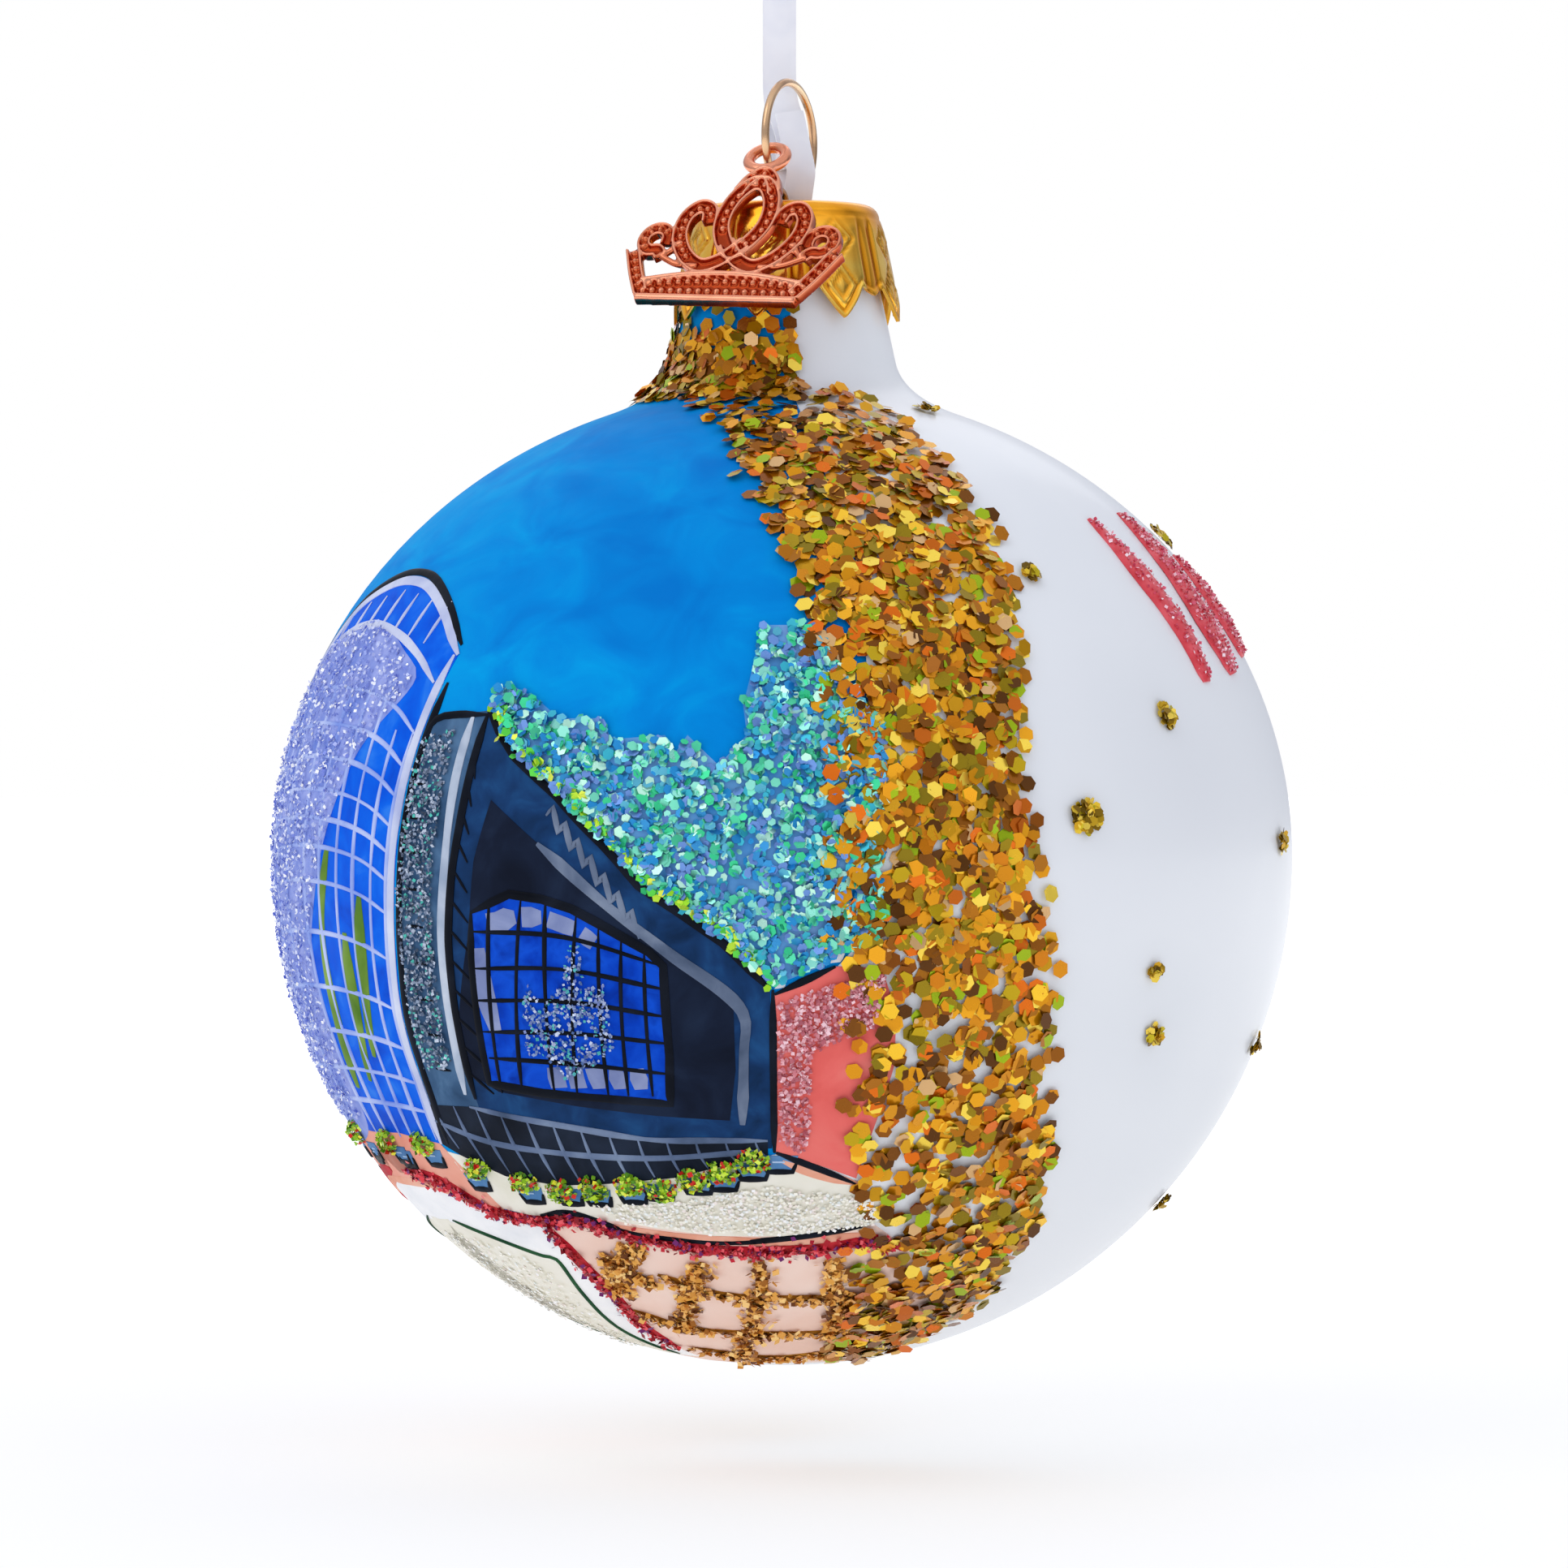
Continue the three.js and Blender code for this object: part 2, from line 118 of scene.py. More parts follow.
# name, degrees from the view, degrees above the ball, metres away, size in metres, watts
LIGHTS = [
    ("key_light", -50, 45, 1.3, 0.9, 2.6), ("fill_light", 62, 30, 1.5, 1.0, 0.9),
    ("back_light", 180, 40, 1.4, 1.0, 2.0),
]


# ---- camera, lights and floor ----
def set_inputs(node, **values):
    """Sets a node's inputs by their names, with _ for a space."""
    for name, value in values.items():
        node.inputs[name.replace("_", " ")].default_value = value


def outward(azimuth):
    turn = math.radians(azimuth)
    return Vector((math.sin(turn), -math.cos(turn), 0))


def in_frame(point):
    return Vector((point[0] * MM, point[1] * MM, point[2] * MM + CENTRE_Z))


def make_camera():
    data = bpy.data.cameras.new("camera")
    data.sensor_width = 36
    data.lens = data.sensor_width * VIEW_DISTANCE / VIEW_FIELD
    data.clip_start = 0.01
    camera = bpy.data.objects.new("camera", data)
    camera.location = in_frame(outward(VIEW_AZIMUTH) * VIEW_DISTANCE + Vector((0, 0, VIEW_RISE)))
    camera.rotation_euler = (math.radians(90), 0, math.radians(VIEW_AZIMUTH))
    bpy.context.scene.collection.objects.link(camera)
    bpy.context.scene.camera = camera


def soft_box(name, azimuth, rise, distance, size, power):
    data = bpy.data.lights.new(name, "AREA")
    data.size = size
    data.energy = power
    light = bpy.data.objects.new(name, data)
    tilt = math.radians(rise)
    away = outward(azimuth) * math.cos(tilt) + Vector((0, 0, math.sin(tilt)))
    light.location = in_frame((0, 0, 0)) + away * distance
    light.rotation_euler = away.to_track_quat("Z", "Y").to_euler()
    bpy.context.scene.collection.objects.link(light)


def make_world():
    """White to the camera. What lights the object is brighter above, with a dim gap at one side."""
    world = bpy.data.worlds.new("studio")
    world.use_nodes = True
    tree = world.node_tree
    tree.nodes.clear()
    new, link = tree.nodes.new, tree.links.new
    place = new("ShaderNodeTexCoord")
    parts = new("ShaderNodeSeparateXYZ")
    link(place.outputs["Generated"], parts.inputs[0])
    height = new("ShaderNodeMapRange")
    height.inputs["From Min"].default_value = -1.0
    link(parts.outputs["Z"], height.inputs["Value"])
    ramp = new("ShaderNodeValToRGB")
    set_ramp(
        ramp, [(0.0, "#d6d9e1"), (0.45, "#bbbfca"), (0.6, "#bbbfca"), (0.8, "#e2e5ee"), (1.0, "#f2f4fa")],
    )
    link(height.outputs["Result"], ramp.inputs["Fac"])
    gap = new("ShaderNodeVectorMath")
    gap.operation = "DOT_PRODUCT"
    gap.inputs[1].default_value = outward(VIEW_AZIMUTH + 78)
    link(place.outputs["Generated"], gap.inputs[0])
    shade = new("ShaderNodeMapRange")
    shade.interpolation_type = "SMOOTHSTEP"
    set_inputs(shade, From_Min=0.6, To_Min=1.0, To_Max=0.35)
    link(gap.outputs["Value"], shade.inputs["Value"])
    lit = new("ShaderNodeBackground")
    link(ramp.outputs["Color"], lit.inputs["Color"])
    link(shade.outputs["Result"], lit.inputs["Strength"])
    plain = new("ShaderNodeBackground")
    plain.inputs["Color"].default_value = (1, 1, 1, 1)
    seen = new("ShaderNodeLightPath")
    mix = new("ShaderNodeMixShader")
    link(seen.outputs["Is Camera Ray"], mix.inputs["Fac"])
    link(lit.outputs[0], mix.inputs[1])
    link(plain.outputs[0], mix.inputs[2])
    out = new("ShaderNodeOutputWorld")
    link(mix.outputs[0], out.inputs["Surface"])
    bpy.context.scene.world = world


def make_floor():
    """A white floor that glows, less so under the ornament: the dimmer glow there paints a pale shadow,
    beside the shadow that the lamps cast.
    """
    mesh = bpy.data.meshes.new("floor")
    side = 30.0
    corners = [(-side, -side, 0), (side, -side, 0), (side, side, 0), (-side, side, 0)]
    mesh.from_pydata(corners, [], [(0, 1, 2, 3)])
    material = bpy.data.materials.new("floor_white")
    material.use_nodes = True
    shader = material.node_tree.nodes["Principled BSDF"]
    set_inputs(
        shader, Base_Color=(0.5, 0.5, 0.5, 1), Roughness=1.0, Specular_IOR_Level=0.0,
        Emission_Color=(1, 1, 1, 1),
    )
    tree = material.node_tree
    place = tree.nodes.new("ShaderNodeTexCoord")
    reach = tree.nodes.new("ShaderNodeVectorMath")
    reach.operation = "LENGTH"
    # the glow falls off towards the ornament, which paints a shadow on the floor under it
    glow_dimmed_for_painted_shadow = tree.nodes.new("ShaderNodeMapRange")
    glow_dimmed_for_painted_shadow.interpolation_type = "SMOOTHSTEP"
    set_inputs(glow_dimmed_for_painted_shadow, From_Min=0.11, From_Max=0.5, To_Min=0.56, To_Max=0.95)
    tree.links.new(place.outputs["Object"], reach.inputs[0])
    tree.links.new(reach.outputs["Value"], glow_dimmed_for_painted_shadow.inputs["Value"])
    tree.links.new(glow_dimmed_for_painted_shadow.outputs["Result"], shader.inputs["Emission Strength"])
    mesh.materials.append(material)
    floor = bpy.data.objects.new("floor", mesh)
    floor.location = in_frame((0, 0, -FLOOR_DROP))
    bpy.context.scene.collection.objects.link(floor)


# ---- materials ----
def colour(code):
    """Linear colour of a #rrggbb code."""
    parts = [int(code[i:i + 2], 16) / 255 for i in (1, 3, 5)]
    return [p / 12.92 if p <= 0.04045 else ((p + 0.055) / 1.055) ** 2.4 for p in parts] + [1.0]


def set_ramp(node, stops, interpolation="LINEAR"):
    ramp = node.color_ramp
    ramp.interpolation = interpolation
    while len(ramp.elements) < len(stops):
        ramp.elements.new(0.5)
    for element, (position, code) in zip(ramp.elements, stops):
        element.position = position
        element.color = colour(code)


def spread(codes):
    """Colours as evenly spaced ramp stops."""
    return [(i / (len(codes) - 1), code) for i, code in enumerate(codes)]


def surface(name, stops, source="noise", scale=300.0, stretch=(1, 1, 1), detail=3.0, roughness=0.5,
            rough_vary=0.1, metallic=0.0, bump=0.0, bump_scale=900.0, coat=0.0, mottle=0.0, steps=False,
            specular=0.5, sheen=0.0, distort=0.0):
    """A material whose colour runs through the stops.

    source says what picks the colour: a noise pattern, each loose flake at random ("island"), or
    a named attribute of the mesh. mottle adds some of the noise to an island's or attribute's value.
    """
    material = bpy.data.materials.new(name)
    material.use_nodes = True
    tree = material.node_tree
    new, link = tree.nodes.new, tree.links.new
    shader = tree.nodes["Principled BSDF"]
    set_inputs(
        shader, Metallic=metallic, Coat_Weight=coat, Coat_Roughness=0.12, Specular_IOR_Level=specular,
        Sheen_Weight=sheen,
    )
    place = new("ShaderNodeTexCoord")
    mapping = new("ShaderNodeMapping")
    mapping.inputs["Scale"].default_value = stretch
    link(place.outputs["Object"], mapping.inputs["Vector"])
    pattern = new("ShaderNodeTexNoise")
    set_inputs(pattern, Scale=scale, Detail=detail, Distortion=distort)
    link(mapping.outputs["Vector"], pattern.inputs["Vector"])
    spreader = new("ShaderNodeMapRange")
    set_inputs(spreader, From_Min=0.28, From_Max=0.72)
    link(pattern.outputs["Fac"], spreader.inputs["Value"])
    value = spreader.outputs["Result"]
    if source != "noise":
        if source == "island":
            picker = new("ShaderNodeNewGeometry")
            own = picker.outputs["Random Per Island"]
        else:
            picker = new("ShaderNodeAttribute")
            picker.attribute_name = source
            own = picker.outputs["Fac"]
        mix = new("ShaderNodeMix")
        mix.inputs["Factor"].default_value = mottle
        link(own, mix.inputs["A"])
        link(value, mix.inputs["B"])
        value = mix.outputs["Result"]
    ramp = new("ShaderNodeValToRGB")
    set_ramp(
        ramp, stops if isinstance(stops[0], tuple) else spread(stops), "CONSTANT" if steps else "LINEAR",
    )
    link(value, ramp.inputs["Fac"])
    link(ramp.outputs["Color"], shader.inputs["Base Color"])
    grain = new("ShaderNodeTexNoise")
    set_inputs(grain, Scale=bump_scale, Detail=2.0)
    link(mapping.outputs["Vector"], grain.inputs["Vector"])
    rough = new("ShaderNodeMapRange")
    set_inputs(rough, To_Min=max(roughness - rough_vary, 0.02), To_Max=min(roughness + rough_vary, 1.0))
    link(grain.outputs["Fac"], rough.inputs["Value"])
    link(rough.outputs["Result"], shader.inputs["Roughness"])
    if bump:
        relief = new("ShaderNodeBump")
        set_inputs(relief, Strength=bump, Distance=0.0002)
        link(grain.outputs["Fac"], relief.inputs["Height"])
        link(relief.outputs["Normal"], shader.inputs["Normal"])
    return material


# ---- mesh making ----
def unit(vectors):
    vectors = np.asarray(vectors, float)
    return vectors / np.maximum(np.linalg.norm(vectors, axis=-1, keepdims=True), 1e-12)


def face_outward(mesh):
    work = bmesh.new()
    work.from_mesh(mesh)
    bmesh.ops.recalc_face_normals(work, faces=work.faces)
    work.to_mesh(mesh)
    work.free()


def add_piece(name, shape, material, body, nodes=(), sharp=None, values=None):
    """A piece from (points, faces). sharp is the angle above which an edge stays hard.

    values gives named attributes, one number for each point.
    """
    points, faces = shape
    points = np.asarray(points, float) * MM
    points[:, 2] += CENTRE_Z
    mesh = bpy.data.meshes.new(name)
    mesh.from_pydata(points.tolist(), [], faces)
    for key, numbers in (values or {}).items():
        mesh.attributes.new(key, "FLOAT", "POINT").data.foreach_set(
            "value", np.asarray(numbers, np.float32),
        )
    face_outward(mesh)
    mesh.polygons.foreach_set("use_smooth", [sharp != 0] * len(mesh.polygons))
    if sharp:
        mesh.set_sharp_from_angle(angle=math.radians(sharp))
    mesh.materials.append(material)
    piece = bpy.data.objects.new(name, mesh)
    bpy.context.scene.collection.objects.link(piece)
    if nodes:
        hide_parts(*nodes)
    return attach(piece, body)


def joined(shapes):
    """Several (points, faces) as one."""
    points, faces, start = [], [], 0
    for part_points, part_faces in shapes:
        points.append(np.asarray(part_points, float))
        faces += [[i + start for i in face] for face in part_faces]
        start += len(part_points)
    return np.concatenate(points), faces


def quads(rows, columns, wrap_rows=False, wrap_columns=False):
    """Faces of a grid of points, row by row."""
    faces = []
    for i in range(rows if wrap_rows else rows - 1):
        below = (i + 1) % rows * columns
        for j in range(columns if wrap_columns else columns - 1):
            k = (j + 1) % columns
            faces.append([i * columns + j, i * columns + k, below + k, below + j])
    return faces


def spline(points, spacing, closed=False):
    """Points about spacing apart on a centripetal Catmull-Rom curve through the given ones."""
    points = np.asarray(points, float)
    if closed:
        guides = np.vstack([points[-1], points, points[0], points[1]])
    else:
        guides = np.vstack([2 * points[0] - points[1], points, 2 * points[-1] - points[-2]])
    result = []
    for p0, p1, p2, p3 in zip(guides, guides[1:], guides[2:], guides[3:]):
        gaps = [max(np.linalg.norm(b - a), 1e-6) ** 0.5 for a, b in ((p0, p1), (p1, p2), (p2, p3))]
        t0, t1, t2, t3 = np.cumsum([0.0] + gaps)
        steps = max(1, round(np.linalg.norm(p2 - p1) / spacing))
        for t in np.linspace(t1, t2, steps, endpoint=False):
            a1 = p0 + (p1 - p0) * (t - t0) / (t1 - t0)
            a2 = p1 + (p2 - p1) * (t - t1) / (t2 - t1)
            a3 = p2 + (p3 - p2) * (t - t2) / (t3 - t2)
            b1 = a1 + (a2 - a1) * (t - t0) / (t2 - t0)
            b2 = a2 + (a3 - a2) * (t - t1) / (t3 - t1)
            result.append(b1 + (b2 - b1) * (t - t1) / (t2 - t1))
    if not closed:
        result.append(points[-1])
    return np.array(result)


def straight(points, spacing, closed=False):
    """Points about spacing apart on straight lines between the given ones."""
    points = [np.asarray(p, float) for p in points]
    ends = points[1:] + points[:1] if closed else points[1:]
    result = []
    for a, b in zip(points, ends):
        steps = max(1, math.ceil(np.linalg.norm(b - a) / spacing))
        result += [a + (b - a) * i / steps for i in range(steps)]
    if not closed:
        result.append(points[-1])
    return np.array(result)


def sweep(path, normals, section, widths=None, closed=False):
    """A closed body that carries a section, points of (across, out), along a path."""
    path = np.asarray(path, float)
    ahead = np.roll(path, -1, 0) - np.roll(path, 1, 0)
    if not closed:
        ahead[0], ahead[-1] = path[1] - path[0], path[-1] - path[-2]
    ahead = unit(ahead)
    normals = np.broadcast_to(np.asarray(normals, float), path.shape)
    out = unit(normals - ahead * (normals * ahead).sum(1, keepdims=True))
    across = np.cross(ahead, out)
    section = np.asarray(section, float)
    widths = np.ones(len(path)) if widths is None else np.asarray(widths, float)
    reach = across[:, None] * section[None, :, :1] + out[:, None] * section[None, :, 1:]
    points = (path[:, None] + reach * widths[:, None, None]).reshape(-1, 3)
    sides = len(section)
    faces = quads(len(path), sides, closed, True)
    if not closed:
        last = (len(path) - 1) * sides
        faces += [list(range(sides)), list(range(last, last + sides))]
    return points, faces


def circle(radius, sides, flat=1.0):
    return [
        (radius * math.cos(2 * math.pi * i / sides), flat * radius * math.sin(2 * math.pi * i / sides))
        for i in range(sides)
    ]


def lathe(profile, segments):
    """A closed ring-shaped body from a closed profile of (radius, height)."""
    profile = np.asarray(profile, float)
    turn = np.linspace(0, 2 * math.pi, segments, endpoint=False)
    points = np.stack([
        np.outer(np.cos(turn), profile[:, 0]),
        np.outer(np.sin(turn), profile[:, 0]),
        np.broadcast_to(profile[:, 1], (segments, len(profile))),
    ], -1).reshape(-1, 3)
    return points, quads(segments, len(profile), True, True)


# ---- the ball's surface ----
def ball_profile(inset, rings):
    """Half of the ball's section, from near the bottom pole to the neck's lip, moved in."""
    shoulder = math.degrees(math.acos(SHOULDER_R / BALL_R))
    points = [ball_place(-89.9 + (89.9 + shoulder) * i / rings, -inset) for i in range(rings + 1)]
    start = np.array(points[-1])
    bend = np.array((NECK_BEND[0] - inset, NECK_BEND[1] - inset * 0.7))
    foot = np.array((NECK_FOOT[0] - inset, NECK_FOOT[1]))
    for t in np.linspace(0, 1, 13)[1:]:
        points.append(tuple(start * (1 - t) ** 2 + bend * 2 * t * (1 - t) + foot * t * t))
    lip = np.array((NECK_LIP_R - inset, NECK_TOP))
    points += [tuple(foot + (lip - foot) * t) for t in np.linspace(0, 1, 9)[1:]]
    return points


def ball_place(latitude, offset):
    angle = math.radians(latitude)
    high = BALL_TOP if latitude > 0 else BALL_R
    return (BALL_R + offset) * math.cos(angle), (high + offset) * math.sin(angle)


OUTSIDE = np.array(ball_profile(0, 110))


def on_ball(azimuth, latitude, offset=0.0):
    """Points on the ball for azimuths and latitudes in degrees."""
    azimuth, latitude = np.radians(azimuth), np.radians(latitude)
    high = np.where(latitude > 0, BALL_TOP, BALL_R)
    r = (BALL_R + offset) * np.cos(latitude)
    return np.stack([r * np.sin(azimuth), -r * np.cos(azimuth), (high + offset) * np.sin(latitude)], -1)


def ball_normal(points):
    high = np.where(points[..., 2:] > 0, BALL_TOP, BALL_R)
    return unit(np.concatenate([points[..., :2] / BALL_R**2, points[..., 2:] / high**2], -1))


def on_neck(azimuth, height, offset=0.0):
    """Points on the neck or shoulder at azimuths and heights, and the normals there."""
    heights, radii = OUTSIDE[OUTSIDE[:, 1] > 30].T[::-1]
    azimuth = np.radians(azimuth)
    radius = np.interp(height, heights, radii)
    slope = (np.interp(height + 0.2, heights, radii) - np.interp(height - 0.2, heights, radii)) / 0.4
    normals = unit(np.stack([np.sin(azimuth), -np.cos(azimuth), -slope], -1))
    points = np.stack([radius * np.sin(azimuth), -radius * np.cos(azimuth), height], -1)
    return points + normals * np.reshape(offset, (-1, 1)), normals


# ---- paint ----
PAINT = 0.03                     # thickness of one coat
UNDER = 0.05                     # how far a coat reaches into the glass, so that no gap shows


def inside(outline, azimuth, latitude):
    """Which places lie inside an outline, by how many of its edges stand to one side of each."""
    crossings = np.zeros(len(azimuth), int)
    for (x0, y0), (x1, y1) in zip(outline, np.roll(outline, -1, 0)):
        if y0 == y1:
            continue
        between = (latitude > min(y0, y1)) & (latitude <= max(y0, y1))
        crossings += between & (azimuth < x0 + (x1 - x0) * (latitude - y0) / (y1 - y0))
    return crossings % 2 == 1


def fill(outline, coat, smooth=False, step=1.5):
    """A closed thin skin of paint on the ball inside an outline of azimuths and latitudes."""
    edge = (spline if smooth else straight)(outline, step, True)
    low, high = edge.min(0) + 0.6, edge.max(0)
    grid = np.stack(np.meshgrid(np.arange(low[0], high[0], 2.0), np.arange(low[1], high[1], 1.8)), -1)
    grid = grid.reshape(-1, 2)
    clear = np.linalg.norm(grid[:, None] - edge[None], axis=-1).min(1) > 0.8
    flat = np.vstack([edge, grid[inside(edge, *grid.T) & clear]])
    found = delaunay_2d_cdt([Vector(p) for p in flat], [], [list(range(len(edge)))], 1, 1e-5)
    places = np.array([tuple(p) for p in found[0]])
    triangles = [list(face) for face in found[2]]
    count = len(places)
    top = on_ball(places[:, 0], places[:, 1], coat * PAINT)
    under = on_ball(places[:, 0], places[:, 1], -UNDER)
    sides = {}
    for face in triangles:
        for a, b in zip(face, face[1:] + face[:1]):
            if sides.pop((b, a), None) is None:
                sides[a, b] = True
    faces = triangles + [[i + count for i in reversed(face)] for face in triangles]
    faces += [[a, a + count, b + count, b] for a, b in sides]
    return np.vstack([top, under]), faces


def stroke(places, width, coat=4, smooth=True, taper=0.35, height=0.09, wobble=0.12, seed=0):
    """A raised brush stroke along azimuths and latitudes, thinner at its ends."""
    flat = (spline if smooth else straight)(places, 1.1)
    path = on_ball(flat[:, 0], flat[:, 1], coat * PAINT)
    rng = np.random.default_rng(seed + len(flat))
    count = len(path)
    along = np.linspace(0, 1, count)
    ends = np.clip(np.minimum(along, 1 - along) * count / 3, 0, 1)
    uneven = np.interp(
        along, np.linspace(0, 1, max(4, count // 4)), rng.uniform(-1, 1, max(4, count // 4)),
    )
    widths = (taper + (1 - taper) * ends) * (1 + wobble * uneven)
    half = width / 2
    section = [
        (-half, -0.1), (half, -0.1), (half, 0), (0.55 * half, height), (-0.55 * half, height), (-half, 0),
    ]
    return sweep(path, ball_normal(path), section, widths)


# ---- flakes ----
def plates(rng, centres, normals, radii, thick=0.06, sides=6, tilt=0.3, ragged=0.0, narrow=1.0):
    """Thin plates over places on a surface, each tilted and turned, with a shallow point underneath."""
    count = len(centres)
    radii = np.broadcast_to(radii, count)
    first = unit(np.cross(normals, rng.normal(size=(count, 3))))
    second = np.cross(normals, first)
    lean = np.clip(rng.normal(0, tilt, (count, 2)), -1.6, 1.6)
    facing = unit(normals + first * lean[:, :1] + second * lean[:, 1:])
    steep = np.sqrt(1 - np.clip((facing * normals).sum(1), 0, 1) ** 2)
    centres = centres + normals * (radii * steep)[:, None]
    across = unit(np.cross(facing, rng.normal(size=(count, 3))))
    along = np.cross(facing, across)
    turn = np.linspace(0, 2 * math.pi, sides, endpoint=False)
    reach = radii[:, None] * (1 + ragged * rng.uniform(-1, 1, (count, sides)))
    ring = (
        centres[:, None]
        + across[:, None] * (reach * np.cos(turn))[..., None]
        + along[:, None] * (reach * np.sin(turn) * narrow)[..., None]
    )
    under = (centres - facing * thick)[:, None]
    points = np.concatenate([ring, under], 1).reshape(-1, 3)
    base = np.arange(count)[:, None] * (sides + 1)
    k = np.arange(sides)
    walls = np.stack([base + k, base + sides + 0 * k, base + (k + 1) % sides], -1).reshape(-1, 3)
    return points, (base + k).tolist() + walls.tolist()


def scatter(rng, count, azimuths, latitudes, chance):
    """Random places in a range of azimuths and latitudes, even in area, kept by a chance of 0 to 1."""
    low, high = np.sin(np.radians(latitudes))
    azimuth = rng.uniform(*azimuths, count)
    latitude = np.degrees(np.arcsin(rng.uniform(low, high, count)))
    kept = rng.uniform(size=count) < chance(azimuth, latitude)
    return azimuth[kept], latitude[kept]


def along_line(rng, places, count, spread_mm):
    """Random places close to a line of azimuths and latitudes."""
    path = spline(places, 0.5)
    steps = rng.integers(0, len(path) - 1, count)
    base = path[steps] + (path[steps + 1] - path[steps]) * rng.uniform(size=(count, 1))
    stray = rng.normal(0, spread_mm / (BALL_R * math.radians(1)), (count, 2))
    stray[:, 0] /= np.cos(np.radians(base[:, 1]))
    return base[:, 0] + stray[:, 0], base[:, 1] + stray[:, 1]


def edge_chance(value, low, high, soft):
    """1 between two limits, falling to 0 over a soft margin outside them."""
    return np.clip((value - low) / soft + 0.5, 0, 1) * np.clip((high - value) / soft + 0.5, 0, 1)


def flakes_on_ball(rng, places, radii, lifts, **shape):
    azimuth, latitude = places
    count = len(azimuth)
    size = rng.uniform(*radii, count)
    points = on_ball(azimuth, latitude, rng.uniform(*lifts, count))
    return plates(rng, points, ball_normal(points), size, **shape)


# ---- glass ball ----
def make_ball():
    inside = ball_profile(WALL, 26)[::-1]
    lip = [(NECK_LIP_R - 0.15, NECK_TOP + 0.0), (NECK_LIP_R - WALL + 0.15, NECK_TOP)]
    profile = [tuple(p) for p in OUTSIDE[:-1]] + [(NECK_LIP_R, NECK_TOP - 0.15)] + lip + inside[1:]
    pearl = surface(
        "pearl_lacquer", ["#e2e6ec", "#eaedf2", "#e6e9ef"], scale=26, detail=2, roughness=0.36,
        rough_vary=0.03, coat=0.2, bump=0.03, bump_scale=500, mottle=0.5,
    )
    add_piece("pearl_glass_ball", lathe(profile, 120), pearl, "ball", ["glass_ball"])


def make_sky():
    """The blue ground of the painting, over the front of the ball and of its neck."""
    low, high, close_above = -42, 61.2, 34
    rows = [
        (r, h)
        for i, (r, h) in enumerate(OUTSIDE) if low < h < high and (i % 2 == 0 or h > close_above)
    ]
    right_edge = 79
    azimuths = np.linspace(-85, right_edge, 90)
    points = []
    for depth in (1, 0):
        for r, h in rows:
            edge = float(np.interp(h, [-14, -6, 30, 46], [-6, 2.5, 2.5, -3.5]))
            for a in azimuths:
                turn = math.radians(a * (1 + edge / right_edge))
                reach = r + (PAINT if depth else -UNDER)
                points.append((reach * math.sin(turn), -reach * math.cos(turn), h))
    count, wide = len(rows), len(azimuths)
    top = quads(count, wide)
    shift = count * wide
    faces = top + [[i + shift for i in reversed(face)] for face in top]
    rim = [i for i in range(wide)] + [i * wide + wide - 1 for i in range(1, count)]
    rim += [
        (count - 1) * wide + i
        for i in range(wide - 2, -1, -1)
    ] + [i * wide for i in range(count - 2, 0, -1)]
    faces += [[a, a + shift, b + shift, b] for a, b in zip(rim, rim[1:] + rim[:1])]
    wash = [0.5 - a / 130 + 0.2 * (h < 20) for _ in (1, 0) for _, h in rows for a in azimuths]
    sky = surface(
        "sky_paint",
        [(0.0, "#0074cc"), (0.35, "#008adc"), (0.6, "#009ce4"), (0.8, "#02aaec"), (1.0, "#1cb6f0")],
        source="wash", mottle=0.45, scale=110, stretch=(1, 1, 1.3), detail=10, roughness=0.6,
        specular=0.03, bump=0.3, bump_scale=420, distort=1.2,
    )
    add_piece("sky_paint", (np.array(points), faces), sky, "ball", values={"wash": np.clip(wash, 0, 1)})


# ---- painting ----
TOWER_MIDDLE = 4                 # azimuth about which the painting is mirrored


def mirrored(places):
    """A line or outline on the other side of the tower."""
    return [(2 * TOWER_MIDDLE - azimuth, latitude) for azimuth, latitude in places]


def twice(lines):
    """Each line, and its likeness on the other side of the tower."""
    return lines + [mirrored(line) for line in lines]


def fills(outlines, coat, **how):
    return [fill(outline, coat, **how) for outline in outlines]


def strokes(lines, width, coat=4, **how):
    return [stroke(line, width, coat, seed=i, **how) for i, line in enumerate(lines)]


def paint(name, codes, shapes, scale=170, roughness=0.5):
    material = surface(
        name, codes, scale=scale, detail=6, roughness=roughness, bump=0.2, bump_scale=600, specular=0.04,
        distort=0.5,
    )
    add_piece(name, joined(shapes), material, "ball", sharp=50)


# outlines and lines of (azimuth, latitude), but the sides of the tower are (latitude, azimuth)
TOWER_RIGHT = [
    (-32.5, 22.5), (-26, 23.5), (-18, 23.5), (-9.5, 24.5), (4.5, 26), (11.5, 27), (21, 29), (24.5, 30),
]
TOWER_LEFT = [(-32.5, -22), (-8, -20), (8, -16), (22, -10), (24.5, -8)]
TOWER_TOP = [
    (-10, 22), (-5.5, 28), (-2, 31.5), (6.5, 34.5), (11.5, 35), (17.5, 34), (24.5, 30), (30, 24.5),
]
ROOF = [
    (37, 17.5), (41.5, 12), (47, 7.5), (52.5, 2), (56.5, -2.5), (60.5, -5), (65.5, -8.5), (70.5, -13.5),
]
PARTY_WALL = [(37, 17), (36, 11), (35, 4), (34, -1.5), (33, -8.5), (32.5, -16), (32, -26.5)]
HALL_INSIDE = [
    (39, 7), (44.5, 2.5), (53.5, -4.5), (59, -9), (66.5, -15.5), (66.5, -22.5), (65.5, -28.5),
    (56.5, -28), (46.5, -27), (36, -25.5), (32.5, -23.5), (33, -16.5), (36, -7.5), (37, 0),
]
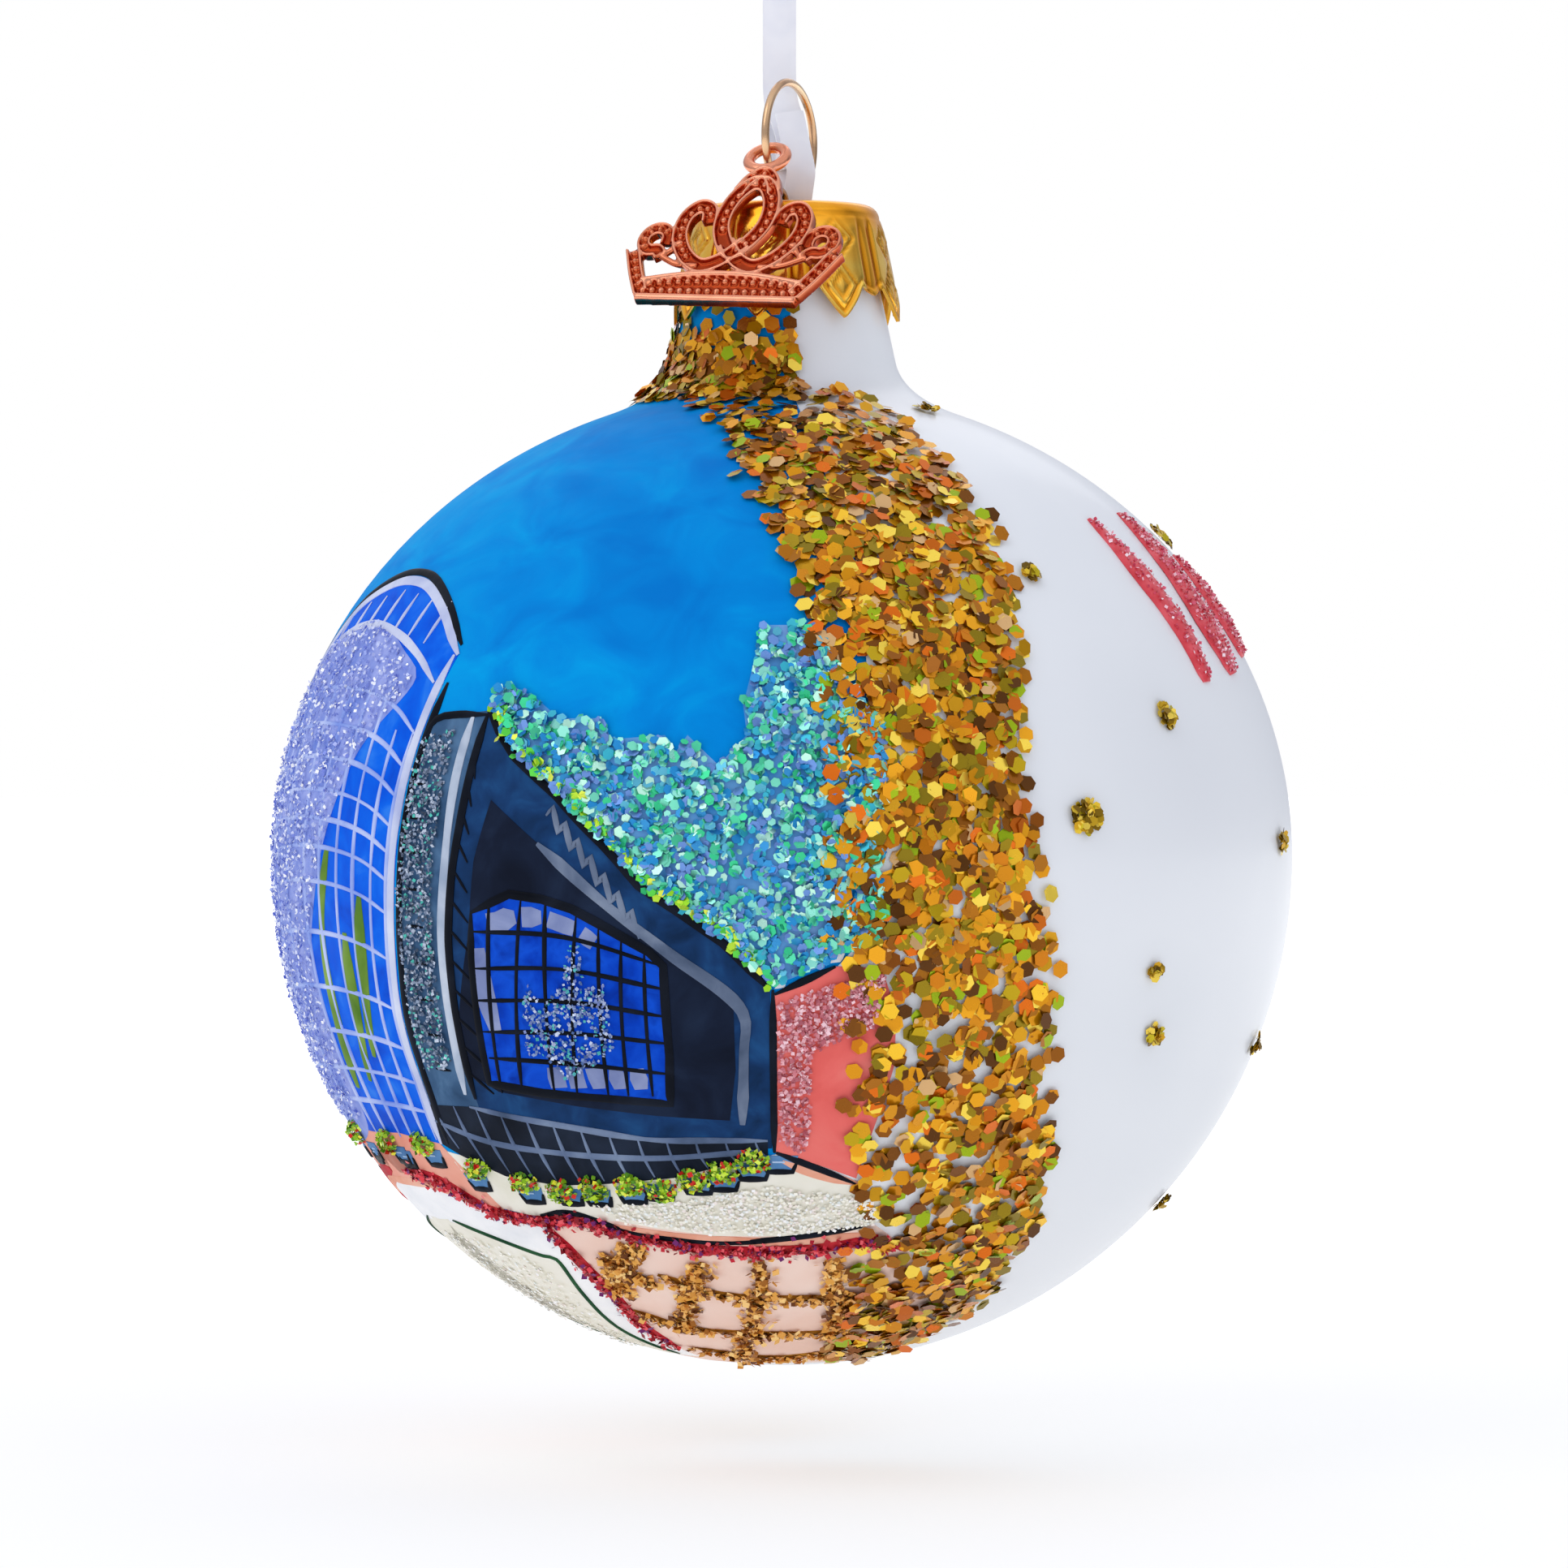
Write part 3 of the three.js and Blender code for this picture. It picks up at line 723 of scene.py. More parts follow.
WINDOW = [
    (36.5, -5.5), (39, -4.5), (41.5, -3.5), (45.5, -4), (49, -5), (52, -6.5), (57.5, -9.5), (59, -11),
    (59, -21), (58.5, -26.5), (51, -26), (42.5, -25.5), (35, -24.5), (35.5, -18), (36, -10.5),
]
BAND_TOP = [(22, -27.5), (30.5, -27.5), (36.5, -28.5), (44, -29.5), (55.5, -31), (63.5, -31), (70, -31)]
BAND_LOW = [
    (22, -32.5), (25, -34), (31.5, -36.5), (40, -37.5), (48, -37), (57.5, -36), (65.5, -34), (70, -33),
]
CORAL = [
    (71, -14), (74.5, -12.5), (77.5, -11), (82.5, -11.2), (84.3, -16), (84.6, -22), (84, -25),
    (82, -33.5), (81.5, -36), (76, -34), (71, -32.5),
]
CLOUD = [
    (37, 20), (39.5, 20.5), (43, 19), (46.5, 16.5), (51.5, 16.5), (53, 14), (59, 14.5), (60, 12),
    (61.5, 14.5), (65, 11), (68, 14.5), (67.5, 18), (69.5, 28), (75.5, 28), (79.5, 15), (79, -7.5),
    (76, -11), (71, -13), (65.5, -8), (60.5, -4.5), (56.5, -2), (52.5, 2.5), (47, 8), (41.5, 12.5),
    (38, 17),
]
POTS = [-2.5, 9.5, 18.5, 25.5, 34.5, 41, 45.5, 51, 55, 60.5, 64, 68, 71.5]
POT_FOOT = [-36, -35.5, -35.5, -38.5, -40, -40, -40, -39.5, -39, -38, -37.5, -36, -35]
GROUND = [
    (22, -33.5), (40, -36.5), (56, -35.5), (71, -32.8), (76, -35), (81.5, -36.5), (86.5, -39),
    (87, -41.5), (83.5, -43.5), (74.5, -44.5), (61.5, -44.5), (53, -43.5), (47, -42.5), (34, -42.5),
    (25, -41),
]
RED_LINE = [
    (8, -37), (16.5, -38), (23.5, -41.5), (33, -43), (40.5, -42.5), (48, -44.5), (58, -46.5), (66, -47),
    (77, -46.5), (84, -45.5), (90, -46),
]
RED_BRANCH = [(34, -44), (35.5, -50), (36.5, -55.5), (35, -62.5), (33, -71)]
LATTICE = [
    [(48, -46.5), (42, -51), (40, -55.5)], [(58.5, -49), (55, -54), (46, -64.5)],
    [(68.5, -48.5), (67, -57.5), (55, -77)], [(80, -48.5), (81.5, -55), (86, -65)],
    [(49.5, -51.5), (59, -55), (72.5, -56), (87, -55.5)],
    [(37.5, -59.5), (47, -63.5), (69, -65), (88, -64.5)], [(40, -71), (67.5, -74.5), (90, -72)],
    [(41, -48.5), (44.5, -51.5), (48, -53)],
]
# the sequin band's edges: azimuths at each latitude
BAND_LAT = [-76, -57, -42, -31, -21, -12, 6, 15, 25, 36, 49, 62]
BAND_INNER = [86, 83, 84, 80, 80, 78, 78, 78.5, 76, 73.5, 67, 58]
BAND_OUTER = [112, 117, 111, 106, 103, 101, 98, 98, 99.5, 102.5, 102, 101]


def tower_side(edge, share, latitude):
    """The azimuth of a mullion that stands at a share of the way from the tower's middle to an edge."""
    return 2 + (np.interp(latitude, *zip(*edge)) - 2) * share


def make_tower():
    outline = TOWER_TOP + [(a, l) for l, a in TOWER_RIGHT[-2::-1]] + [(a, l) for l, a in TOWER_LEFT[:-2]]
    paint("tower_panes", ["#0348c8", "#0258de", "#0466e8", "#2a7cec"], [fill(outline, 2)], scale=230)
    frost = [
        (9.5, 29.5), (20, 25), (24, 21.7), (16.6, 12.8), (11.9, 4), (8.4, -4), (5, -12), (5.5, -21),
        (3, -31), (-21, -31), (-19, -8), (-15, 8), (-9, 22), (-3, 27),
    ]
    paint("tower_frost", ["#7088d8", "#8f9fe2", "#a9b4ec"], [fill(frost, 3, smooth=True)], scale=300)
    floors, levels = [], [14.5, 10.5, 7, 3.5, 0.5, -2.5, -6, -11, -16.5, -21, -25, -28.5]
    for level in levels:
        bow = 1 + 5 * (level + 28.5) / 43
        right, left = tower_side(TOWER_RIGHT, 1, level) - 0.8, tower_side(TOWER_LEFT, 1, level) + 0.8
        floors.append([
            (right, level), (right - 4.5, level + 0.55 * bow), (right - 11, level + 0.9 * bow),
            (2, level + bow), (left + 6, level + 0.6 * bow), (left, level),
        ])
    heights = np.linspace(-32, 22, 9)
    mullions = [
        [(float(tower_side(edge, share, l)), float(l)) for l in heights[:9 - cut]]
        for edge, shares in (
            (TOWER_RIGHT, ((0.16, 0), (0.34, 0), (0.52, 0), (0.67, 0), (0.82, 1), (0.94, 1))),
            (TOWER_LEFT, ((0.15, 0), (0.4, 0), (0.65, 1), (0.88, 2))),
        )
        for share, cut in shares
    ]
    paint(
        "tower_mullions", ["#7f98e4", "#a4b6ee", "#c4d0f6"],
        strokes(floors + mullions, 0.45, 4, wobble=0.35),
    )
    right = [(a - 0.6, l) for l, a in TOWER_RIGHT]
    left = [(a + 0.6, l) for l, a in TOWER_LEFT[:-1]]
    inner = [(-7, 22), (-2.5, 27), (8, 29), (16.5, 27.5), (23, 24.5), (27.5, 21)]
    white = strokes([TOWER_TOP, right, left], 1.0, 4) + strokes([inner], 0.8, 4)
    crown = [
        [(a, 27.5 - abs(a - 11) * 0.12), (a * 1.06 + 0.4, 33.6 - abs(a - 11) * 0.16)]
        for a in (-3, 2, 6.5, 11, 15, 19, 23)
    ]
    white += strokes(crown, 0.4, 4)
    paint("tower_frame_pale", ["#a9b2dc", "#c2cae8", "#d8def2"], white)
    olive = [
        [(12, 1.5), (9.5, -8), (8.5, -18), (7, -26)], [(18.7, -4), (17.3, -14), (15.2, -22)],
        [(15, -8), (14, -18), (11.7, -25)],
    ]
    paint(
        "tower_olive_strips", ["#4a7424", "#6b8f36", "#86a850"],
        strokes(olive, 1.6, 3, wobble=0.3, taper=0.5),
    )
    outside = [(a + 0.8, l) for l, a in TOWER_RIGHT[:-1]]
    dark = [outside, [(a - 0.9, l) for l, a in TOWER_LEFT[:-1]], [(a, l + 1.3) for a, l in TOWER_TOP]]
    return strokes(dark, 0.85, 3)


def make_buildings():
    steel = [(28, 14), (29.5, 16.5), (32, 17), (37, 17.5)] + PARTY_WALL[1:] + [
        (32, -30), (23.4, -30), (24, -18), (25, -9.5), (26.4, 4.5), (27.5, 11.5),
    ]
    hall = ROOF + [(70.5, -32), (50, -33), (32, -30)] + PARTY_WALL[::-1]
    paint("steel_blue_wall", ["#2c4868", "#3c5c80", "#55789c"], fills(twice([steel]), 2), scale=260)
    paint("navy_hall", ["#10294a", "#183a68", "#205084"], fills(twice([hall]), 2), scale=260)
    paint("hall_inside_dark", ["#0f1524", "#161f33", "#202d45"], fills(twice([HALL_INSIDE]), 3))
    paint(
        "window_blue", ["#022c92", "#033eba", "#0e50d0", "#0232a0"], fills(twice([WINDOW]), 4), scale=300,
    )
    grid = []
    for top, low in ((39, 36.5), (43, 39.5), (46, 44), (49.5, 47), (52, 51), (54.5, 53.5), (57, 56.5)):
        grid.append([(top, -4 - max(top - 46, 0) * 0.5), ((top + low) / 2, -15), (low, -25.6)])
    for left, middle, right in (
        (-7.5, -8, -11), (-11.5, -11.5, -13.5), (-15, -15, -16.5), (-18.5, -18.5, -19.5), (-21.5, -22, -23),
    ):
        grid.append([(36, left), (48, middle), (59, right)])
    black = strokes(twice(grid), 0.45, 5, wobble=0.3)
    black += strokes(twice([ROOF, PARTY_WALL, WINDOW + WINDOW[:1]]), 0.85, 5, smooth=False)
    black += strokes(
        twice([
            [(28, 14), (29.5, 16.5), (32, 17), (37, 17)],
            [(34, -42), (40, -41.5), (48, -44), (54.5, -45), (63.5, -45.5), (75, -44.5), (83.5, -43)],
            [(70.8, -13.5), (70.8, -32.5)], [(71, -14), (77.5, -11)],
            [(71, -32.5), (76, -34.5), (81.5, -36.7)],
        ]),
        0.7, 5,
    )
    grey = [
        [(35, 17), (34, 10.5), (33, -0.5), (32, -8.5), (31, -22), (30.5, -26)],
        [(45, 2), (53.5, -5), (59.5, -9.5), (67.5, -16), (67.5, -20.5), (67, -29)],
    ]
    zigzag = [(46 + i * 0.75, 5.4 - i * 0.95 + (1.8 if i % 2 else -0.2)) for i in range(15)]
    ticks = [[(27, 9 - i * 4), (29.4, 8.8 - i * 4)] for i in range(9)]
    ticks += [
        [
            (float(np.interp(l, *zip(*[(b, a) for a, b in PARTY_WALL[::-1]]))), l),
            (36.5 - 0.04 * (10 - l), l - 2.6),
        ]
        for l in np.arange(12, -24, -3.2)
    ]
    black += strokes(twice(ticks), 0.45, 4)
    soft = strokes(twice(grey[1:]), 1.1, 4, wobble=0.3) + strokes(twice([zigzag]), 0.6, 4, smooth=False)
    paint("wall_grey_lines", ["#404e66", "#5f6d86", "#8592a8"], soft)
    paint("wall_pale_line", ["#93a3bb", "#b8c4d6", "#d6deea"], strokes(twice(grey[:1]), 0.95, 4))
    lights = [
        [(38.6, -6.6), (42.2, -5.9)], [(43, -5.9), (45.4, -5.9)], [(46.2, -6.1), (49.2, -7.1)],
        [(50, -7.6), (51.4, -8.6)], [(36.9, -9.3), (37.2, -14), (37.8, -18.5)],
    ] + [[(44.6 + i * 2.6, -22.4), (44.8 + i * 2.6, -24.8)] for i in range(5)]
    paint(
        "window_lights", ["#6876a8", "#8692bc", "#a4aed2"],
        strokes(twice(lights), 1.9, 4.2, taper=0.8, wobble=0.25, height=0.02),
    )
    return black


def make_street():
    band = BAND_TOP + BAND_LOW[::-1]
    paint("dark_band", ["#10151f", "#19202d", "#242e40"], fills(twice([band]), 3))
    lattice = []
    for i in range(13):
        a = 24 + 3.7 * i
        top = float(np.interp(a, *zip(*BAND_TOP)))
        low = float(np.interp(a, *zip(*BAND_LOW)))
        lattice.append([(a, top), (a + 0.4, (top + low) / 2), (a + 1.2, low + 0.5)])
    rails = [BAND_TOP[1:], [(23, -29.5), (31, -31.8), (42, -33), (55, -33.4), (69, -32.3)]]
    paint("band_lattice_grey", ["#44546e", "#5f7090", "#7f90ac"],
          strokes(twice(lattice), 0.36, 4, wobble=0.3) + strokes(twice(rails), 0.6, 4, wobble=0.3))
    paint("coral_wall", ["#e4605a", "#ee706a", "#f2827a"], fills(twice([CORAL]), 3))
    peach = [
        (-75, -42), (8, -42), (40, -42), (84, -42), (92, -47), (106, -60), (104, -79), (20, -80),
        (-72, -79),
    ]
    paint("peach_ground", ["#efcbba", "#f4d6c8", "#f9e2d6"], [fill(peach, 1.5, step=4)], scale=110)
    cream = [
        (0, -44), (13, -44.7), (28, -48.9), (30, -50), (28.3, -56.5), (23, -67), (22, -75), (4, -76),
        (-4, -60),
    ]
    paint("cream_ground", ["#e6e3d2", "#efecdf", "#f6f4ea"], fills(twice([GROUND, cream]), 2.5, step=3))
    salmon = [
        (-5, -32), (12.5, -31.5), (21.5, -32.5), (24, -36), (27, -41.5), (23, -41.2), (9, -38.6),
        (-4, -37.5),
    ]
    paint("salmon_kerb", ["#e0907c", "#eca48f", "#f2b8a6"], fills(twice([salmon]), 2.7, step=3))
    white = [
        (-4, -37), (9, -38.5), (15, -38.8), (24, -41.8), (34, -44), (36.5, -52), (33, -70), (30, -76),
        (2, -76), (-6, -45),
    ]
    paint("white_ground", ["#e9ecf0", "#f6f7f9", "#ffffff"], fills(twice([white]), 2, step=3))
    rim = [
        [(40.5, -43), (53, -44.4), (63, -45.2), (75, -45.3), (84, -44.2)],
        [(71, -33.3), (76, -35.3), (82, -36.8)], [(-2, -38.4), (8, -38.6), (15, -38.6), (24, -42)],
    ]
    paint("salmon_rim", ["#d98a6e", "#eba68c", "#f4c3ad"], strokes(twice(rim), 1.0, 3))
    leaf = [[
        (10, -44), (19, -46.3), (28, -48.9), (30.5, -49.4), (28.3, -56.5), (22.5, -67.4), (22.5, -74.6),
    ]]
    paint("terrace_green_line", ["#12301f", "#1f4a30", "#34633f"], strokes(twice(leaf), 0.4, 5))
    reds = strokes(twice([RED_LINE, RED_BRANCH]), 1.5, 4)
    paint("red_line_paint", ["#9c1424", "#c02434", "#d84a48"], reds)
    paint(
        "lattice_brown_paint", ["#7d4a12", "#a56a1e", "#c68d34"],
        strokes(LATTICE + [mirrored(l) for l in LATTICE[:3]], 1.2, 3),
    )
    bodies, rims, shine = [], [], []
    for azimuth, foot in zip(POTS, POT_FOOT):
        box = [
            (azimuth - 1.7, foot), (azimuth + 1.7, foot), (azimuth + 2.3, foot + 2.1),
            (azimuth - 2.3, foot + 2.1),
        ]
        bodies.append(box)
        rims.append([
            (azimuth - 2.1, foot + 1.2), (azimuth - 1.6, foot), (azimuth + 1.6, foot),
            (azimuth + 2.1, foot + 1.2),
        ])
        shine.append([(azimuth - 1.0, foot + 1.3), (azimuth + 0.6, foot + 1.3)])
    paint("flower_pots", ["#3a6496", "#4f7fb2", "#6f9aca"], [fill(o, 5) for o in twice(bodies)])
    paint("pot_shine", ["#93b4dc", "#bcd3ee"], strokes(twice(shine), 0.5, 6))
    return strokes(twice(rims), 0.7, 6, smooth=False)


def make_painting():
    black = make_tower() + make_buildings() + make_street()
    paint("black_lines", ["#0a0d14", "#12161f", "#1d2330"], black, roughness=0.35)
    paint("cloud_aqua", ["#3a90d6", "#5a9cdc", "#6aa6e0", "#84aee4"], fills(twice([CLOUD]), 2), scale=200)


# ---- sequins and glitter ----
# the sequins' own golds, oranges, olives and browns, with a few pale yellows that are painted glints
SEQUIN_COLOURS_WITH_GLINTS = [
    "#8a4a04", "#dc9408", "#a8680a", "#f0a818", "#8a7408", "#c4620a", "#ffca30", "#5c3404", "#c4a410",
    "#d07c08", "#e49a10", "#a0b810", "#94560a", "#dcb078", "#c8920c", "#ffdc50", "#9a800c", "#e6700c",
    "#b06c08", "#dca018", "#7a4606", "#d88c10",
]
SEQUIN_R = (0.78, 0.9)           # from the middle to a corner
FOIL = 0.05                      # thickness of a sequin or a coarse flake
SEQUINS_TRIED = 9800             # places drawn for each band, before the ones outside it are dropped


def glitter(name, codes, roughness=0.25, metallic=0.5):
    # each flake takes one code at random; beside the flakes' own colours, the near-white codes in the
    # coloured lists are painted glints, flakes shown as catching the light
    stops = [(i / len(codes), code) for i, code in enumerate(codes)]
    return surface(
        name, stops, source="island", steps=True, roughness=roughness, metallic=metallic, specular=0.3,
        mottle=0.03,
    )


def make_sequins():
    gold = glitter("sequin_gold", SEQUIN_COLOURS_WITH_GLINTS)
    for sign, side in ((1, "right"), (-1, "left")):
        rng = np.random.default_rng(11 + sign)

        def chance(azimuth, latitude):
            inner = np.interp(latitude, BAND_LAT, BAND_INNER)
            outer = np.interp(latitude, BAND_LAT, BAND_OUTER)
            across = (azimuth - inner) / (outer - inner)
            ends = np.clip((latitude + 77) / 6, 0, 1)
            full = edge_chance(azimuth, inner, outer, 5)
            low = np.clip(-latitude / 8, 0, 1) * np.clip((latitude + 60) / 8, 0, 1)
            thin = 1 - low * (0.6 - 0.4 * np.clip(across * 1.5, 0, 1))
            return full * thin * ends

        azimuth, latitude = scatter(rng, SEQUINS_TRIED, (54, 124), (-78, 63), chance)
        shape = flakes_on_ball(
            rng, (sign * azimuth, latitude), SEQUIN_R, (0.03, 0.55), thick=FOIL, sides=6, tilt=0.17,
        )
        add_piece(
            "sequins_" + side, shape, gold, "ball", ["sequin_band_" + side], sharp=0,
        )
    rng = np.random.default_rng(5)
    count, linking = 640, 320                          # the linking ones run on from the seam's bands
    side = np.where(rng.uniform(size=linking) < 0.5, -1, 1)
    low = rng.uniform(40.6, 45.6, linking)
    reach = np.interp(low, [40.6, 43, 45.6], [57, 42, 24]), np.interp(
        low, [40.6, 43, 45.6], [103, 106, 92],
    )
    azimuth = np.concatenate([rng.uniform(-78, 78, count), side * rng.uniform(*reach)])
    height = np.concatenate([44.4 + np.abs(rng.normal(0, 3.6, count)), low])
    kept = height < 54.6
    azimuth, height = azimuth[kept], height[kept]
    centres, normals = on_neck(azimuth, height, rng.uniform(0.05, 0.5, len(azimuth)))
    shape = plates(rng, centres, normals, rng.uniform(0.74, 0.86, len(azimuth)), thick=FOIL, tilt=0.18)
    add_piece("sequins_collar", shape, gold, "ball", ["sequin_collar"], sharp=0)


def within(outline):
    """A chance of 1 for the places inside an outline."""
    return lambda azimuth, latitude: inside(outline, azimuth, latitude).astype(float)


# the flakes run on under the sequin band, past the painted cloud
FLAKE_ZONE = [(a + 3.5, l) if a > 76 else (a, l) for a, l in CLOUD]


def patch(name, nodes, slot, material, rng, places, radii, sides, **shape):
    flakes = flakes_on_ball(rng, places, radii, (0.1, 0.35), sides=sides, **shape)
    add_piece(name, flakes, material, "ball", nodes, sharp=0)


def make_glitter():
    rng = np.random.default_rng(21)
    aqua = glitter(
        "aqua_flakes",
        [
            "#4fd0a0", "#38b4cc", "#7fe8c8", "#3898d8", "#6f98dc", "#98f0dc", "#3cd494", "#5cb8d4",
            "#2490d4", "#c8ffe8", "#6c94d8",
        ],
    )
    places = scatter(rng, 5000, (36, 85), (-13, 29), within(FLAKE_ZONE))
    azimuth, latitude = along_line(rng, [(a + 0.8, l + 0.8) for a, l in ROOF], 150, 0.4)
    lime = glitter("lime_flakes", ["#9cd828", "#5fd84c", "#c8f040", "#38c878", "#e8f458"])
    edge = flakes_on_ball(rng, (azimuth, latitude), (0.36, 0.52), (0.1, 0.4), sides=5, tilt=0.35)
    add_piece("lime_flakes_at_the_eaves", edge, lime, "ball", sharp=0)
    patch("aqua_flakes", ["aqua_glitter"], "aqua_glitter", aqua, rng, places, (0.3, 0.6), 6, tilt=0.4)

    silver = glitter("silver_flakes", [
        "#a8b2e8", "#ffffff", "#8494e0", "#d6dcf8", "#7484d8", "#c0caf2", "#eef2ff", "#98a8e8",
    ], metallic=0.2)
    zone = [
        (9.5, 29.5), (20, 25), (24, 21.7), (16.6, 12.8), (11.9, 4), (8.4, -4), (5, -12), (5.5, -21),
        (3, -30), (-20, -30), (-18, -8), (-14, 8), (-8, 22), (-3, 27),
    ]
    places = scatter(rng, 7000, (-22, 25), (-31, 30), within(zone))
    patch(
        "tower_silver", ["tower_glitter"], "silver_glitter", silver, rng, places, (0.14, 0.26), 4,
        tilt=0.5,
    )
    zone = [(28, 14), (33, 15.5), (31.4, -2), (29.8, -23), (25, -23), (25.9, -4)]
    places = scatter(rng, 2600, (25, 33), (-24, 16), within(zone))
    grey = glitter(
        "strip_flakes",
        [
            "#6f7f98", "#b8c4d8", "#3c4a60", "#8f9fb8", "#7f8ea8", "#c4d0e2", "#566680", "#4fc8b8",
            "#8492ac",
        ],
        metallic=0.2,
    )
    patch(
        "strip_silver", ["strip_glitter"], "silver_glitter", grey, rng, places, (0.14, 0.24), 4, tilt=0.5,
    )
    zone = [
        (47.6, -13), (48.4, -8.8), (49.8, -8.9), (50, -13.4), (52.4, -13), (52.6, -20), (50, -22),
        (46.1, -23.6), (44, -21), (41.6, -21), (42, -16.5), (43, -12.9), (44.6, -15.5),
    ]
    places = scatter(rng, 1700, (40, 56), (-24, -8), within(zone))
    teal = glitter(
        "window_flakes", ["#6f88b8", "#aebcdc", "#4a68a0", "#8ca2cc", "#4fb8b8", "#ccd8f0", "#7c8cc4"],
        metallic=0.2,
    )
    patch(
        "window_silver", ["window_glitter"], "silver_glitter", teal, rng, places, (0.14, 0.24), 4,
        tilt=0.5,
    )

    pink = glitter(
        "pink_flakes", ["#d8808a", "#f0b4bc", "#c46a76", "#e498a2", "#b86470", "#ffd8e0"], metallic=0.1,
    )
    zone = [
        (71.4, -15), (76, -13.2), (83, -11.8), (82, -17.5), (75, -20.5), (75.2, -29.5), (74.4, -32.5),
        (71.5, -31),
    ]
    places = scatter(rng, 3000, (70, 84), (-33, -11), within(zone))
    patch("coral_sparkle", ["coral_glitter"], "pink_glitter", pink, rng, places, (0.16, 0.3), 4, tilt=0.5)

    pearl = glitter(
        "cream_flakes", ["#faf7ea", "#ffffff", "#f2efe0", "#f2f8f6", "#fbf0ea", "#ece8d6", "#fffdf2"],
        metallic=0.0,
    )
    zone = [
        (44, -40), (56, -39.5), (70, -37), (84, -38.5), (86, -42.5), (74, -44), (60, -44), (48, -42.5),
    ]
    places = scatter(rng, 2900, (43, 88), (-45, -37), within(zone))
    patch(
        "ground_sparkle", ["ground_glitter"], "cream_glitter", pearl, rng, places, (0.12, 0.24), 4,
        tilt=0.15,
    )
    zone = [(-2, -46), (13, -46.5), (26, -50), (26.5, -56.5), (21, -67), (18, -72), (-4, -72)]
    places = scatter(rng, 1000, (-6, 28), (-73, -46), within(zone))
    patch(
        "terrace_sparkle", ["terrace_glitter"], "cream_glitter", pearl, rng, places, (0.13, 0.26), 4,
        tilt=0.12,
    )

    red = glitter(
        "red_chips", ["#b01828", "#e84450", "#8c1020", "#cc2438", "#74246c", "#f0606a", "#b81c30"],
        metallic=0.3,
    )
    azimuth, latitude = along_line(rng, RED_LINE, 1000, 0.5)
    more = along_line(rng, RED_BRANCH, 260, 0.45)
    places = np.concatenate([azimuth, more[0]]), np.concatenate([latitude, more[1]])
    patch(
        "red_chips", ["red_glitter_line"], "red_glitter", red, rng, places, (0.2, 0.36), 4, tilt=0.5,
        ragged=0.25,
    )

    amber = glitter(
        "amber_chips", ["#d8963c", "#f4bc68", "#6a3810", "#e8a848", "#ffd488", "#a4641c", "#e8a850"],
        metallic=0.35,
    )
    found = [
        along_line(rng, line, 320 if i < 4 else 230, 0.65 if i < 4 else 0.4)
        for i, line in enumerate(LATTICE)
    ]
    places = np.concatenate([f[0] for f in found]), np.concatenate([f[1] for f in found])
    patch(
        "amber_chips", ["gold_chip_lattice"], "gold_chips", amber, rng, places, (0.26, 0.48), 4, tilt=0.4,
        ragged=0.25,
    )


# places as (azimuth, latitude), dots with their radius, reliefs with half their width and flake count
SHRUBS = [
    (-4.5, -32), (8.5, -32.5), (18, -32.5), (27, -35.5), (34.5, -37), (40, -38), (45.5, -37.5), (51, -37),
    (55.5, -37.5), (60, -36), (64, -35), (68, -33.5),
]
DOTS = [
    (123, 64, 1.3), (106.3, 35.3, 1.1), (120.4, 17, 1.3), (106, 5, 1.8), (145, 2, 1.2), (119, -19, 1.1),
    (117, -12, 0.8), (149, -21, 1.1), (152, -42, 1.1), (158, 42.5, 1.6), (186, 12, 1.2), (205, -28, 1.1),
    (224, 28, 1.3), (236, -8, 1.1), (246, 40, 1.0), (180, -55, 1.2),
]
RELIEFS = [
    ([(126.8, 44.5), (129, 35), (131.2, 27), (131.6, 21.3)], 1.8, 260),
    ([(140.9, 46), (140.4, 37), (140.2, 29), (141.2, 22.5)], 2.7, 620),
    ([(152, 39.5), (151.5, 33), (151.5, 27.5), (152, 25)], 2.4, 420),
]


def along_surface(out):
    """The directions up and sideways along a surface with this normal."""
    up = unit(np.array([0, 0, 1.0]) - out * out[2])
    return up, np.cross(up, out)


